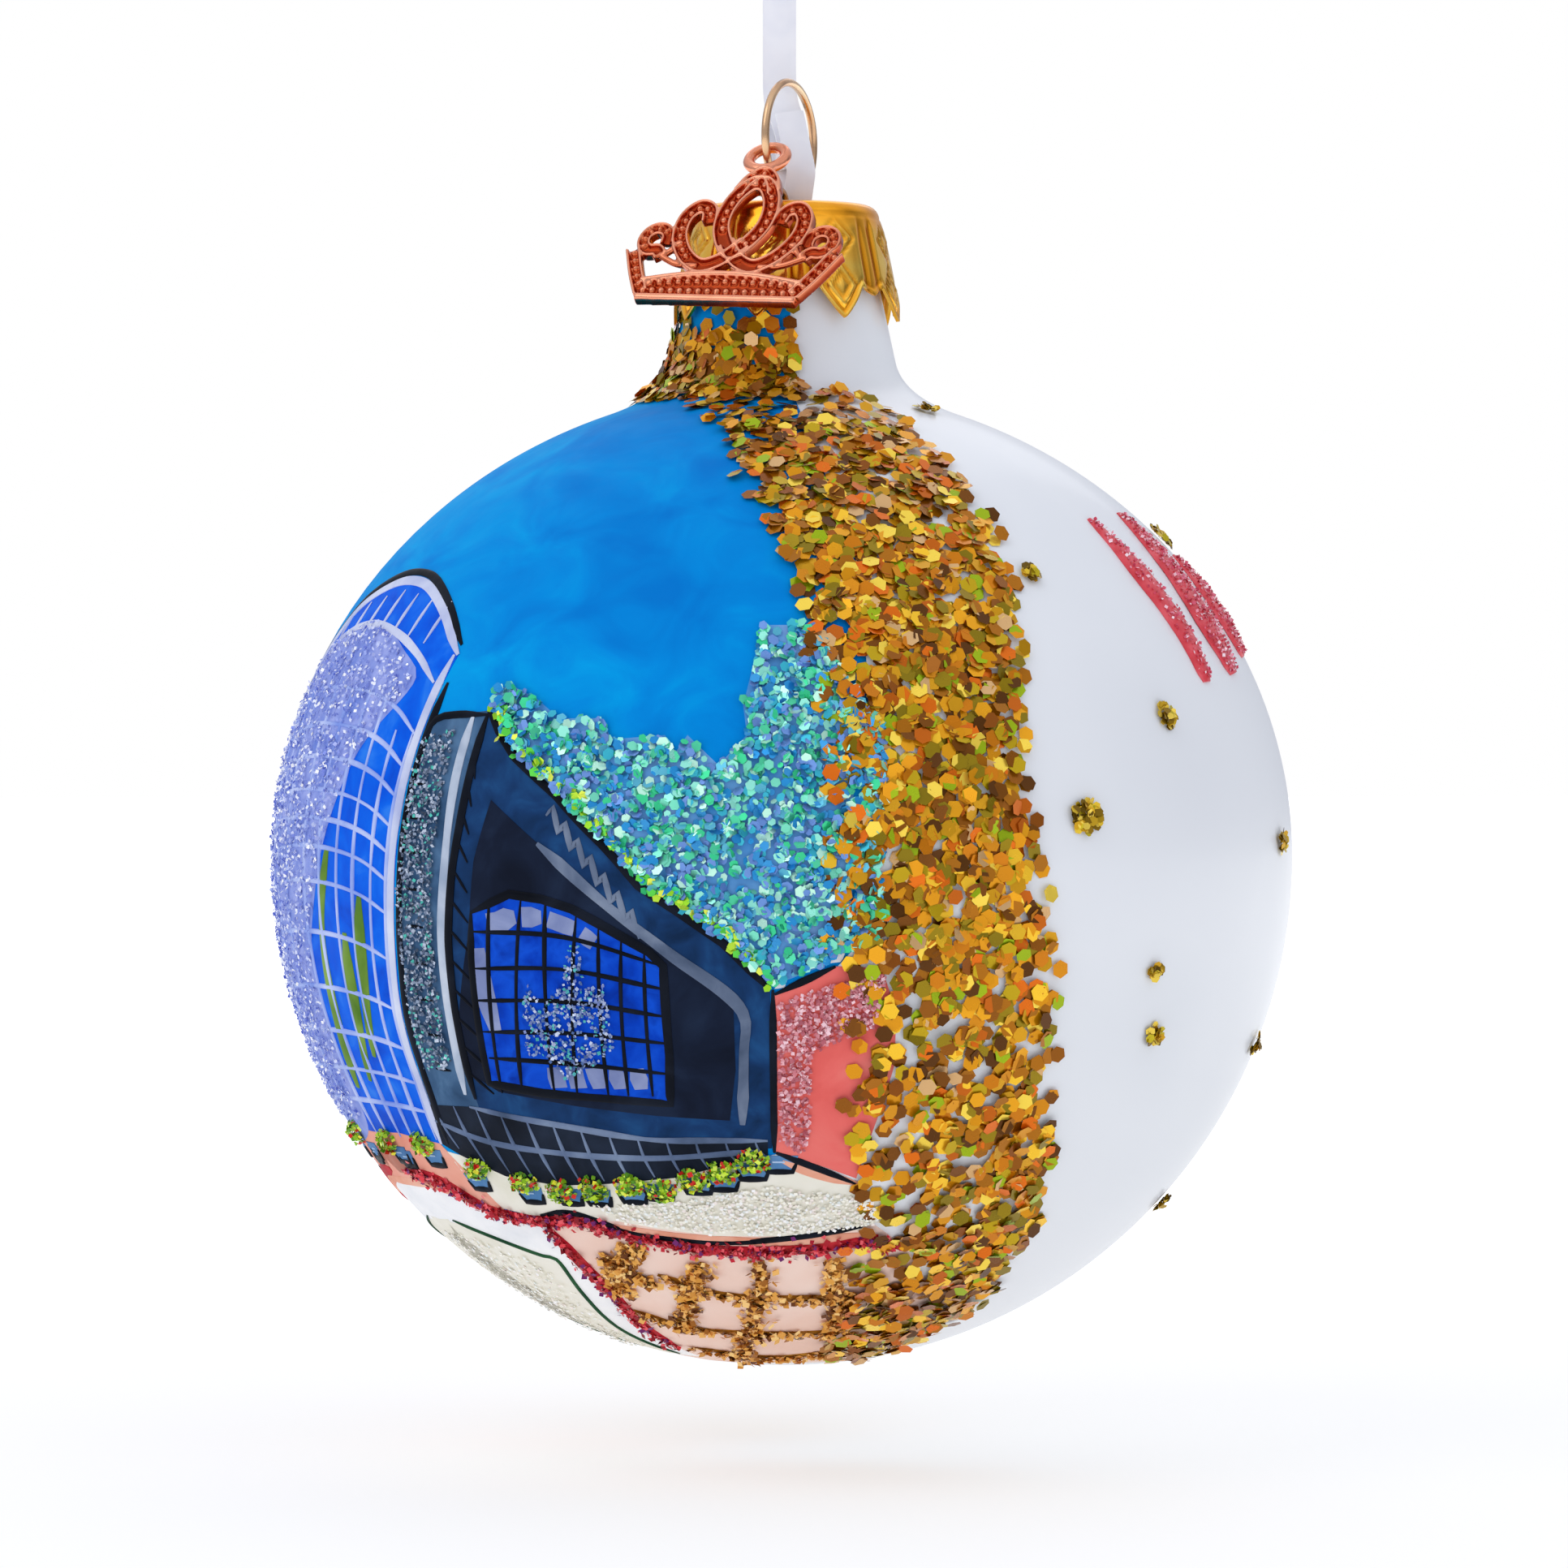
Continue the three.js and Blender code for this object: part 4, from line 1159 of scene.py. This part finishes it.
def make_small_decorations():
    green = glitter("shrub_flakes", [
        "#8fc01c", "#d0f038", "#4f8a18", "#b4dc28", "#f0e83c", "#d8281c", "#78b01c", "#e0f85a", "#5c9c1c",
    ], metallic=0.2)
    for i, (azimuth, latitude) in enumerate(SHRUBS, 1):
        rng = np.random.default_rng(100 + i)
        where = rng.normal(0, 1, (110, 3))
        where = unit(where) * rng.uniform(0.3, 1, (110, 1)) ** 0.5
        centre = on_ball(azimuth, latitude, 0.0)
        out = ball_normal(centre)
        up, side = along_surface(out)
        spots = centre + side * where[:, :1] * 1.65 + up * where[:, 1:2] * 1.3
        spots = spots + out * (np.abs(where[:, 2:]) * 1.0 + 0.1)
        facing = unit(side * where[:, :1] + up * where[:, 1:2] + out * (np.abs(where[:, 2:]) + 0.4))
        shape = plates(rng, spots, facing, rng.uniform(0.2, 0.34, 110), thick=FOIL, sides=4, tilt=0.5)
        add_piece(
            f"shrub_tuft_{i:02d}", shape, green, "ball", [f"shrub_{i:02d}"], sharp=0,
        )
    gold = glitter(
        "dot_flakes", ["#d0a018", "#8a6a08", "#f0d050", "#b08c10", "#6a5004", "#e0bc30", "#c8b420"],
    )
    for i, (azimuth, latitude, radius) in enumerate(DOTS, 1):
        rng = np.random.default_rng(200 + i)
        count = round(24 * radius**1.5) + 8
        angle = rng.uniform(0, 2 * math.pi, count)
        reach = radius * 0.9 * rng.uniform(0, 1, count) ** 0.55
        height = 0.55 * (1 - (reach / radius) ** 2) * rng.uniform(0.1, 1, count)
        if latitude > 60:
            centre, out = [v[0] for v in on_neck(np.array([azimuth]), np.array([43.2]))]
        else:
            centre = on_ball(azimuth, latitude)
            out = ball_normal(centre)
        up, side = along_surface(out)
        spots = centre + side * (reach * np.cos(angle))[:, None] + up * (reach * np.sin(angle))[:, None]
        spots = spots + out * (height + 0.1)[:, None]
        shape = plates(
            rng, spots, np.broadcast_to(out, spots.shape), rng.uniform(0.3, 0.5, count), thick=FOIL,
            sides=6, tilt=0.3,
        )
        add_piece(
            f"gold_dot_flakes_{i:02d}", shape, gold, "ball", [f"gold_dot_{i:02d}"],
            sharp=0,
        )
    red = surface(
        "relief_red", ["#c8303a", "#dc4450", "#e8606a"], scale=500, detail=4, roughness=0.3, specular=0.4,
        bump=0.25, bump_scale=1200,
    )
    pink = glitter(
        "relief_crystals",
        ["#e0607a", "#f098ac", "#d04460", "#f8c8d4", "#e87890", "#ffe8f0", "#c03450", "#dc5870"],
        metallic=0.1,
    )
    for i, (line, half, crystals) in enumerate(RELIEFS, 1):
        rng = np.random.default_rng(300 + i)
        line = spline(line, 0.5)
        path = on_ball(line[:, 0], line[:, 1], 0.0)
        along = np.linspace(0, 1, len(path))
        widths = np.interp(along, [0, 0.08, 0.35, 0.7, 0.95, 1], [0.25, 0.5, 0.9, 1, 0.7, 0.4])
        widths *= 1 + 0.06 * np.interp(along, np.linspace(0, 1, 12), rng.uniform(-1, 1, 12))
        section = [
            (half * math.cos(t), 0.7 * max(math.sin(t), -0.1))
            for t in np.linspace(0, 2 * math.pi, 20, endpoint=False)
        ]
        add_piece(
            f"relief_lump_{i}", sweep(path, ball_normal(path), section, widths), red, "ball",
            [f"relief_stroke_{i}"], sharp=60,
        )
        steps = rng.integers(1, len(path) - 1, crystals)
        normals = ball_normal(path[steps])
        side = np.cross(unit(np.gradient(path, axis=0))[steps], normals)
        turn = rng.uniform(-1, 1, crystals)
        spots = path[steps] + side * (turn * half * widths[steps] * 0.95)[:, None]
        spots += normals * (0.7 * widths[steps] * np.sqrt(1 - (0.9 * turn) ** 2))[:, None]
        flecks = plates(
            rng, spots, normals, rng.uniform(0.12, 0.24, crystals), thick=0.06, sides=4, tilt=0.7,
        )
        add_piece(f"relief_crystals_{i}", flecks, pink, "ball", sharp=0)


# ---- ribbon ----
def hang_local(points):
    """Points of the hanging parts' local frame, turned so that the ribbon's width is local X."""
    turn = math.radians(HANG_TURN)
    c, s = math.cos(turn), math.sin(turn)
    points = np.asarray(points, float)
    return np.stack([
        points[..., 0] * c - points[..., 1] * s, points[..., 0] * s + points[..., 1] * c, points[..., 2],
    ], -1)


def satin():
    """White satin: fine threads along the ribbon, on its own across and along coordinates."""
    material = surface(
        "white_satin", ["#dfe2f0", "#f1f2f9", "#e8eaf4"], scale=120, roughness=0.38, coat=0.0, sheen=0.3,
    )
    tree = material.node_tree
    new, link = tree.nodes.new, tree.links.new
    shader = tree.nodes["Principled BSDF"]
    shader.inputs["Anisotropic"].default_value = 0.5
    across = new("ShaderNodeAttribute")
    across.attribute_name = "across"
    run = new("ShaderNodeAttribute")
    run.attribute_name = "along"
    place = new("ShaderNodeCombineXYZ")
    link(across.outputs["Fac"], place.inputs["X"])
    link(run.outputs["Fac"], place.inputs["Y"])
    threads = new("ShaderNodeTexWave")
    threads.bands_direction = "X"
    set_inputs(threads, Scale=4.0, Distortion=0.6, Detail_Scale=0.4)
    link(place.outputs[0], threads.inputs["Vector"])
    relief = new("ShaderNodeBump")
    set_inputs(relief, Strength=0.35, Distance=0.00008)
    link(threads.outputs["Fac"], relief.inputs["Height"])
    link(relief.outputs["Normal"], shader.inputs["Normal"])
    return material


def make_ribbon(material):
    route = spline(RIBBON_ROUTE, 0.4)
    gaps = np.linalg.norm(np.diff(route, axis=0), axis=1)
    run = np.concatenate([[0], np.cumsum(gaps)])
    length = run[-1]
    # the width direction is local X, so the section's out is square to it and to the path
    ahead = unit(np.gradient(route, axis=0))
    out = unit(np.cross(np.array([1.0, 0, 0]), ahead))
    half, thick = RIBBON_WIDTH / 2, RIBBON_THICK / 2
    columns = np.linspace(-1, 1, 15)
    cup = 0.16 * (1 - columns**2)                       # the ribbon is slightly hollow across
    lip = 0.05 * np.clip((np.abs(columns) - 0.86) / 0.1, 0, 1)
    front = [(half * c, cup[i] + thick + lip[i]) for i, c in enumerate(columns)]
    back = [(half * c, cup[i] - thick - lip[i]) for i, c in enumerate(columns)][::-1]
    section = np.array(front + back)
    foot = np.clip(np.minimum(run, length - run) / 5.0, 0, 1)
    widths = 0.72 + 0.28 * foot                         # gathered where it runs into the knot
    side = np.cross(ahead, out)
    shape = section[None] * np.stack([widths, np.ones(len(route))], -1)[:, None]
    points = route[:, None] + side[:, None] * shape[..., :1] + out[:, None] * shape[..., 1:]
    faces = quads(len(route), len(section), False, True)
    last = (len(route) - 1) * len(section)
    faces += [list(range(len(section))), list(range(last, last + len(section)))]
    across = np.tile(section[:, 0], len(route))
    along = np.repeat(run, len(section))
    piece = add_piece(
        "satin_ribbon", (hang_local(points.reshape(-1, 3)), faces), material, "ribbon", ["ribbon"],
        sharp=50, values={"across": across, "along": along},
    )
    path = [tuple(in_frame(p)) for p in hang_local(spline(RIBBON_ROUTE, 1.0))]
    return piece, path, length * MM


def make_knot(material):
    """A tight wrap round the two strands, and the cut ends that fan out flat below it."""
    parts, across, along = [], [], []

    def band(path, half, thick, normals, closed=False):
        columns = np.linspace(-1, 1, 9)
        front = [(half * c, 0.12 * (1 - c * c) + thick) for c in columns]
        section = front + [(half * c, 0.12 * (1 - c * c) - thick) for c in columns[::-1]]
        parts.append(sweep(path, normals, section, closed=closed))
        across.extend(np.tile([p[0] for p in section], len(path)))
        along.extend(np.repeat(np.arange(len(path)) * 0.25, len(section)))

    ring = np.linspace(0, 2 * math.pi, 28, endpoint=False)
    wrap = np.stack(
        [0.45 + 1.0 * np.cos(ring), 0.55 + 0.95 * np.sin(ring), 68.7 + 0.35 * np.cos(ring)], -1,
    )
    normals = np.stack([np.cos(ring), np.sin(ring), 0 * ring], -1)
    band(wrap, 0.9, 0.2, normals, True)
    front = [
        (0.5, 1.5, 73.4), (0.68, 1.1, 72.6), (0.98, 0.2, 71.0), (1.38, -0.6, 69.0), (1.66, -0.85, 67.4),
        (1.5, -0.8, 66.0), (1.28, -0.7, 64.4),
    ]
    band(spline(front, 0.25), 1.42, 0.11, (0.15, -1, 0.2))
    band(
        spline([(0.3, 0.3, 69.8), (0.5, 0.3, 68.3), (0.5, 0.25, 67.0), (0.6, 0.2, 65.4)], 0.25), 1.3,
        0.11, (-0.2, -1, 0),
    )
    band(
        spline([(0.1, 1.5, 69.8), (-0.1, 1.8, 68.4), (-0.3, 1.9, 67.2), (-0.35, 1.8, 66.2)], 0.25), 1.2,
        0.11, (0.2, 1, 0),
    )
    local, faces = joined(parts)
    return add_piece(
        "ribbon_knot_tied", (hang_local(local), faces), material, "knot", ["ribbon_knot"],
        sharp=60, values={"across": across, "along": along},
    )


# ---- wire and cap ----
def loop_point(angle):
    turn = math.radians(angle)
    return (LOOP_HALF[0] * math.sin(turn), 0.0, LOOP_H - LOOP_HALF[1] * math.cos(turn))


def make_hanger():
    points = [(-d, 0, h) for d, h in LEG]
    points += [loop_point(-a) for a in np.linspace(LOOP_OPEN, 360 - LOOP_OPEN, 21)]
    points += [(d, 0, h) for d, h in reversed(LEG)]
    path = spline(points, 0.25)
    shape, faces = sweep(path, (0, 1, 0), circle(WIRE_R, 14))
    turn = math.radians(LOOP_TURN)
    shift = CAP_SHIFT + LOOP_SHIFT
    local = np.stack([shape[:, 0] * math.cos(turn) + shift - shape[:, 1] * math.sin(turn),
                      shape[:, 0] * math.sin(turn) + shape[:, 1] * math.cos(turn), shape[:, 2]], -1)
    metal = surface(
        "bronze_wire", ["#a87c58", "#dcb48c", "#f0d2ac"], scale=160, stretch=(1, 1, 0.2), detail=4,
        roughness=0.24, rough_vary=0.1, metallic=1.0, bump=0.1, bump_scale=1500,
    )
    add_piece(
        "hanger_wire_smooth", (hang_local(local), faces), metal, "hanger", ["hanger_wire"],
    )


def tooth_reach(angle):
    """How far the skirt's edge hangs below the foot, by angle in degrees in the cap's frame."""
    pitch = 360 / CAP_TEETH
    from_tooth = np.abs(((angle - CAP_TOOTH_TURN) / pitch + 0.5) % 1 - 0.5)
    large = TOOTH_LONG * (1 - np.clip(from_tooth / 0.3, 0, 1) ** 1.25)
    small = TOOTH_SHORT * np.clip((from_tooth - 0.3) / 0.2, 0, 1)
    return np.where(from_tooth < 0.3, large, small)


def emboss(angle, height, depth_from_edge):
    """How far the stamping moves the skirt out, in millimetres."""
    pitch = 360 / CAP_TEETH
    turn = ((angle - CAP_TOOTH_TURN) / pitch + 0.5) % 1 - 0.5
    across = turn * math.radians(pitch) * SKIRT_MID_R
    relief = np.zeros_like(height)
    for centre, wide, tall in ((55.6, 1.75, 2.5), (60.3, 1.9, 1.9)):
        ring = np.abs(across) / wide + np.abs(height - centre) / tall
        for at, wide_line, push in ((1.0, 0.11, -0.16), (0.5, 0.13, -0.14), (0.75, 0.12, 0.10)):
            relief += push * np.exp(-((ring - at) / wide_line) ** 2)
        relief += 0.06 * np.clip(1 - ring / 0.35, 0, 1)
    petal = np.clip((0.36 - np.abs(turn)) / 0.02, 0, 1) * np.clip((height - CAP_FOOT + 3.4) / 2, 0.4, 1)
    relief += 0.16 * petal                              # each large tooth is one raised panel up to the rim
    relief -= 0.10 * np.exp(-((np.abs(turn) - 0.385) / 0.018) ** 2)
    flutes = np.cos(across * 2 * math.pi / 1.3) * np.clip((0.5 - np.abs(np.abs(turn) - 0.5)) / 0.06, 0, 1)
    relief += 0.06 * flutes * np.clip((np.abs(turn) - 0.38) / 0.03, 0, 1)
    relief += 0.03 * np.cos(across * 4.1 + height * 0.7) * np.clip((np.abs(across) - 2.1) / 0.4, 0, 1)
    relief += 0.09 * np.exp(-((depth_from_edge - 0.25) / 0.22) ** 2)
    relief -= 0.07 * np.exp(-((depth_from_edge - 0.75) / 0.2) ** 2)
    return relief


def make_cap():
    segments = 300
    angles = np.linspace(0, 360, segments, endpoint=False)
    top_rows = [(r, CAP_TOP) for r in np.linspace(CAP_HOLE_R, CAP_TOP_R - CAP_CORNER, 12)]
    for turn in np.linspace(0, math.pi / 2, 8)[1:]:
        top_rows.append((
            CAP_TOP_R - CAP_CORNER * (1 - math.sin(turn)), CAP_TOP - CAP_CORNER * (1 - math.cos(turn)),
        ))
    reach = tooth_reach(angles)
    rows = []
    for r, h in top_rows:
        ring = np.abs(r - 5.4) < 2.4
        dish = 0.10 * math.cos((r - 3.4) * 2.4) if ring else 0.0
        rows.append((np.full(segments, r), np.full(segments, h + dish - 0.1), np.zeros(segments)))
    start = CAP_TOP - CAP_CORNER
    skirt = 30
    for i in range(1, skirt + 1):
        t = i / skirt
        edge = CAP_FOOT - reach
        height = start + (edge - start) * t
        fall = (start - height) / (start - CAP_FOOT)
        radius = CAP_TOP_R + (CAP_FOOT_R - 0.45 - CAP_TOP_R) * np.clip(fall, 0, 2) ** 0.9
        radius += 0.05 * np.clip(CAP_FOOT - height, 0, None)
        push = emboss(angles, height, height - edge) * np.clip(t * 6, 0, 1)
        rows.append((radius + push, height, push))
    turn = np.radians(angles)
    outer = np.stack([np.stack([r * np.cos(turn), r * np.sin(turn), h], -1) for r, h, _ in rows])
    # the sheet's inner face follows the outer one
    centre_line = np.stack(
        [np.gradient(outer[..., 2], axis=0), np.gradient(np.hypot(outer[..., 0], outer[..., 1]), axis=0)],
        -1,
    )
    across = unit(centre_line)
    radial = np.stack([np.cos(turn), np.sin(turn)], -1)[None]
    inner = outer.copy()
    inner[..., :2] += radial * across[..., :1] * CAP_SHEET * 0.8
    inner[..., 2] -= across[..., 1] * CAP_SHEET * 0.8
    count = len(rows)
    points = np.concatenate([outer, inner[::-1]]).reshape(-1, 3)
    faces = quads(2 * count, segments, True, True)
    # the colour follows the stamping: dark where it sinks and pale where it stands out, a painted shade in
    # the hollows and a painted highlight on the raised lines
    emboss_for_painted_shade = np.array([row[2] for row in rows])
    emboss_for_painted_shade = np.concatenate([emboss_for_painted_shade, emboss_for_painted_shade[::-1]]).ravel()
    points[:, 0] += CAP_SHIFT
    gold = surface(
        "stamped_gold_sheet",
        [(0.0, "#945804"), (0.3, "#da8a14"), (0.5, "#f6a628"), (0.8, "#ffb93c"), (1.0, "#ffd868")],
        source="depth", mottle=0.2, scale=260, roughness=0.24, rough_vary=0.08, metallic=1.0, bump=0.08,
        bump_scale=350,
    )
    add_piece(
        "cap_stamped", (hang_local(points), faces), gold, "hanger", ["cap"], sharp=70,
        values={"depth": np.clip(0.5 + emboss_for_painted_shade * 3.0, 0, 1)},
    )


# ---- crown charm: x along its base, y up, z out of its face ----
def channel(path, half, closed=False, high=1.15, floor=0.5):
    """A strip with a raised rim along each side."""
    rim = 0.3
    side = [
        (half, 0.0), (half, high - 0.2), (half - 0.08, high - 0.05), (half - 0.16, high),
        (half - 0.24, high - 0.05), (half - rim, high - 0.2), (half - rim - 0.06, floor),
    ]
    section = side + [(-x, y) for x, y in side[::-1]]
    line = spline([(x, y, 0.0) for x, y in path], 0.3, closed)
    return sweep(line, (0, 0, 1), section, closed=closed)


def rod(path, radius, height=0.6):
    line = spline([(x, y, height) for x, y in path], 0.3)
    return sweep(line, (0, 0, 1), circle(radius, 10))


def bead(x, y, z, radius):
    rings = [(radius * math.sin(t), radius * math.cos(t)) for t in np.linspace(0.35, math.pi - 0.35, 5)]
    turn = np.linspace(0, 2 * math.pi, 8, endpoint=False)
    points = [(x + r * math.cos(a), y + r * math.sin(a), z + h) for r, h in rings for a in turn]
    faces = quads(len(rings), 8, False, True) + [list(range(8)), list(range(32, 40))]
    return np.array(points), faces


def beads_along(path, spacing, radius, z, first=0.0, last=1.0):
    line = spline([(x, y, 0.0) for x, y in path], 0.1)
    run = np.concatenate([[0], np.cumsum(np.linalg.norm(np.diff(line, axis=0), axis=1))])
    start, end = run[-1] * first, run[-1] * last
    places = np.linspace(start, end, max(2, round((end - start) / spacing) + 1))
    return [bead(np.interp(p, run, line[:, 0]), np.interp(p, run, line[:, 1]), z, radius) for p in places]


def flip(path):
    return [(-x, y) for x, y in path]


def spun(points, axis, degrees):
    """Points turned about a coordinate axis, right-handed."""
    c, s = math.cos(math.radians(degrees)), math.sin(math.radians(degrees))
    i, j = [(1, 2), (2, 0), (0, 1)][axis]
    result = np.array(points, float)
    result[:, i], result[:, j] = points[:, i] * c - points[:, j] * s, points[:, i] * s + points[:, j] * c
    return result


def cast(shapes, voxel):
    """Overlapping closed shapes as one skin, with its edges softened as in a casting."""
    points, faces = joined(shapes)
    mesh = bpy.data.meshes.new("cast")
    mesh.from_pydata(points.tolist(), [], faces)
    face_outward(mesh)
    holder = bpy.data.objects.new("cast", mesh)
    bpy.context.scene.collection.objects.link(holder)
    remesh = holder.modifiers.new("skin", "REMESH")
    remesh.mode = "VOXEL"
    remesh.voxel_size = voxel
    soften = holder.modifiers.new("soften", "SMOOTH")
    soften.iterations = 3
    soften.factor = 0.5
    thin = holder.modifiers.new("thin", "DECIMATE")
    thin.ratio = 0.5
    done = holder.evaluated_get(bpy.context.evaluated_depsgraph_get()).to_mesh()
    points = np.array([tuple(v.co) for v in done.vertices])
    faces = [list(face.vertices) for face in done.polygons]
    bpy.data.objects.remove(holder)
    bpy.data.meshes.remove(mesh)
    return points, faces


def make_charm():
    navette = [
        (0, 5.9), (2.1, 8.3), (2.5, 10.4), (1.95, 12.6), (0.6, 14.2), (-0.6, 14.2), (-1.95, 12.6),
        (-2.5, 10.4), (-2.1, 8.3),
    ]
    scroll = [
        (1.0, 7.1), (0, 5.8), (-1.3, 4.7), (-3.0, 4.2), (-5.2, 5.5), (-6.7, 8.0), (-6.6, 10.2),
        (-5.5, 11.3), (-4.4, 10.9), (-4.0, 9.7),
    ]
    curl = [(9.2 + 1.35 * math.cos(t), 7.3 + 1.35 * math.sin(t)) for t in np.linspace(-2.0, 3.4, 9)]
    curl = [(8.0, 5.4)] + curl
    post = [(8.5, 0.9), (9.9, 3.2), (11.4, 6.2)]
    arch = [(-9.0, 2.3), (-4.5, 3.05), (0, 3.3), (4.5, 3.05), (9.0, 2.3)]
    shapes = [channel(navette, 0.95, True)]
    shapes += beads_along(navette, 1.05, 0.4, 0.62, 0.03, 0.97)
    peak = [(-2.0, 13.2), (-1.2, 14.8), (0, 15.6), (1.2, 14.8), (2.0, 13.2)]
    shapes.append(channel(peak, 0.75))
    shapes += beads_along(peak, 1.0, 0.36, 0.62, 0.2, 0.8)
    for path in (scroll, flip(scroll)):
        shapes.append(channel(path, 0.88))
        shapes += beads_along(path, 1.0, 0.38, 0.6, 0.45, 0.95)
    for path in (curl, flip(curl)):
        shapes.append(channel(path, 0.72, high=1.05))
        shapes += beads_along(path, 0.9, 0.32, 0.6, 0.35, 0.8)
    for side in (1, -1):
        tail = [(side * x, y) for x, y in ((3.4, 4.3), (5.8, 4.5), (8.3, 5.6))]
        shapes.append(rod(tail, 0.33))
        shapes.append(rod([(side * x, y) for x, y in ((6.4, 7.2), (7.2, 6.0), (7.9, 5.5))], 0.35))
        shapes.append(channel([(side * x, y) for x, y in post], 0.78))
        shapes += beads_along([(side * x, y) for x, y in post], 1.1, 0.36, 0.6, 0.22, 0.9)
    edge = [
        (x, y, 0.0)
        for x, y in [
            (-8.9, 0), (8.9, 0), (9.6, 1.6), (9.0, 2.5),
        ] + arch[::-1][1:-1] + [(-9.0, 2.5), (-9.6, 1.6)]
    ]
    plate = np.array(edge + [(x, y, 0.5) for x, y, _ in edge])
    count = len(edge)
    walls = [[i, (i + 1) % count, (i + 1) % count + count, i + count] for i in range(count)]
    shapes.append((plate, walls + [list(range(count)), list(range(count, 2 * count))]))
    shapes.append(
        sweep(
            np.array([(-8.9, 0.36, 0.55), (0, 0.36, 0.55), (8.9, 0.36, 0.55)]), (0, 0, 1),
            [(-0.38, -0.55), (0.38, -0.55), (0.38, 0.4), (0.2, 0.6), (-0.2, 0.6), (-0.38, 0.4)],
        )
    )
    upper = spline([(x, y, 0.55) for x, y in arch], 0.4)
    shapes.append(
        sweep(
            upper, (0, 0, 1),
            [(-0.3, -0.55), (0.3, -0.55), (0.3, 0.45), (0.12, 0.62), (-0.12, 0.62), (-0.3, 0.45)],
        )
    )
    shapes += [bead(-8.4 + i * 1.05, 1.25, 0.6, 0.42) for i in range(17)]
    shapes += [bead(-7.9 + i * 1.05, 2.0 + 0.5 * (1 - ((i - 7.5) / 8) ** 2), 0.6, 0.4) for i in range(16)]
    flat = []
    for points, faces in shapes:
        points = points.copy()
        points[:, 0] = (
            points[:, 0] + 0.043 * points[:, 1] + 0.08 * np.clip(points[:, 0] - 6, 0, 6)
        ) * CHARM_WIDE + 0.15
        points[:, 1] *= CHARM_TALL
        flat.append((points + np.array([0, -CHARM_DROP - 0.65, CHARM_BACK]), faces))
    flat = [(spun(points, 2, CHARM_ROLL), faces) for points, faces in flat]
    ring = np.linspace(0, 2 * math.pi, 40, endpoint=False)
    eye = np.stack([EYE_R * np.cos(ring), EYE_R * np.sin(ring), 0 * ring], -1)
    band, faces = sweep(
        eye, unit(eye), [(0.55 * math.cos(t), 0.6 * math.sin(t)) for t in ring[::4]], closed=True,
    )
    flat.append((spun(band, 0, EYE_TILT), faces))
    points, faces = cast(flat, CHARM_VOXEL)
    # the colour darkens down into the hollows and is palest on the high rims, the beads and the eye: a
    # painted shade and a painted highlight
    relief = np.where(points[:, 1] > -2.2, 1.0, np.clip((points[:, 2] - CHARM_BACK - 0.45) / 0.6, 0, 1))
    place = spun(spun(points, 0, 90 - CHARM_LEAN), 2, -CHARM_YAW)
    eye_angle = -math.degrees(math.acos((LOOP_H - CHARM_EYE_H) / LOOP_HALF[1]))
    eye_at = spun(
        np.array([loop_point(eye_angle)]), 2, LOOP_TURN,
    )[0] + (CAP_SHIFT + LOOP_SHIFT, -CHARM_OUT, 0)
    copper = surface(
        "rose_copper", [(0.0, "#8e2c10"), (0.3, "#ac4422"), (0.6, "#d0704a"), (1.0, "#eea282")],
        source="relief", mottle=0.12, scale=300, roughness=0.25, rough_vary=0.1, metallic=1.0, bump=0.12,
        bump_scale=900,
    )
    add_piece(
        "crown_charm_cast", (hang_local(place + eye_at), faces), copper, "charm", ["crown_charm"],
        sharp=60, values={"relief": relief},
    )


# ---- the studio and the ornament ----
bpy.context.scene.view_settings.view_transform = "Standard"
make_camera()
make_world()
make_floor()
for name, turn_from_view, *setting in LIGHTS:
    soft_box(name, VIEW_AZIMUTH + turn_from_view, *setting)

ribbon_satin = satin()
knot = make_knot(ribbon_satin)
ribbon, ribbon_path, ribbon_length = make_ribbon(ribbon_satin)
make_hanger()
make_cap()
make_ball()
make_sky()
make_painting()
make_sequins()
make_glitter()
make_small_decorations()
make_charm()
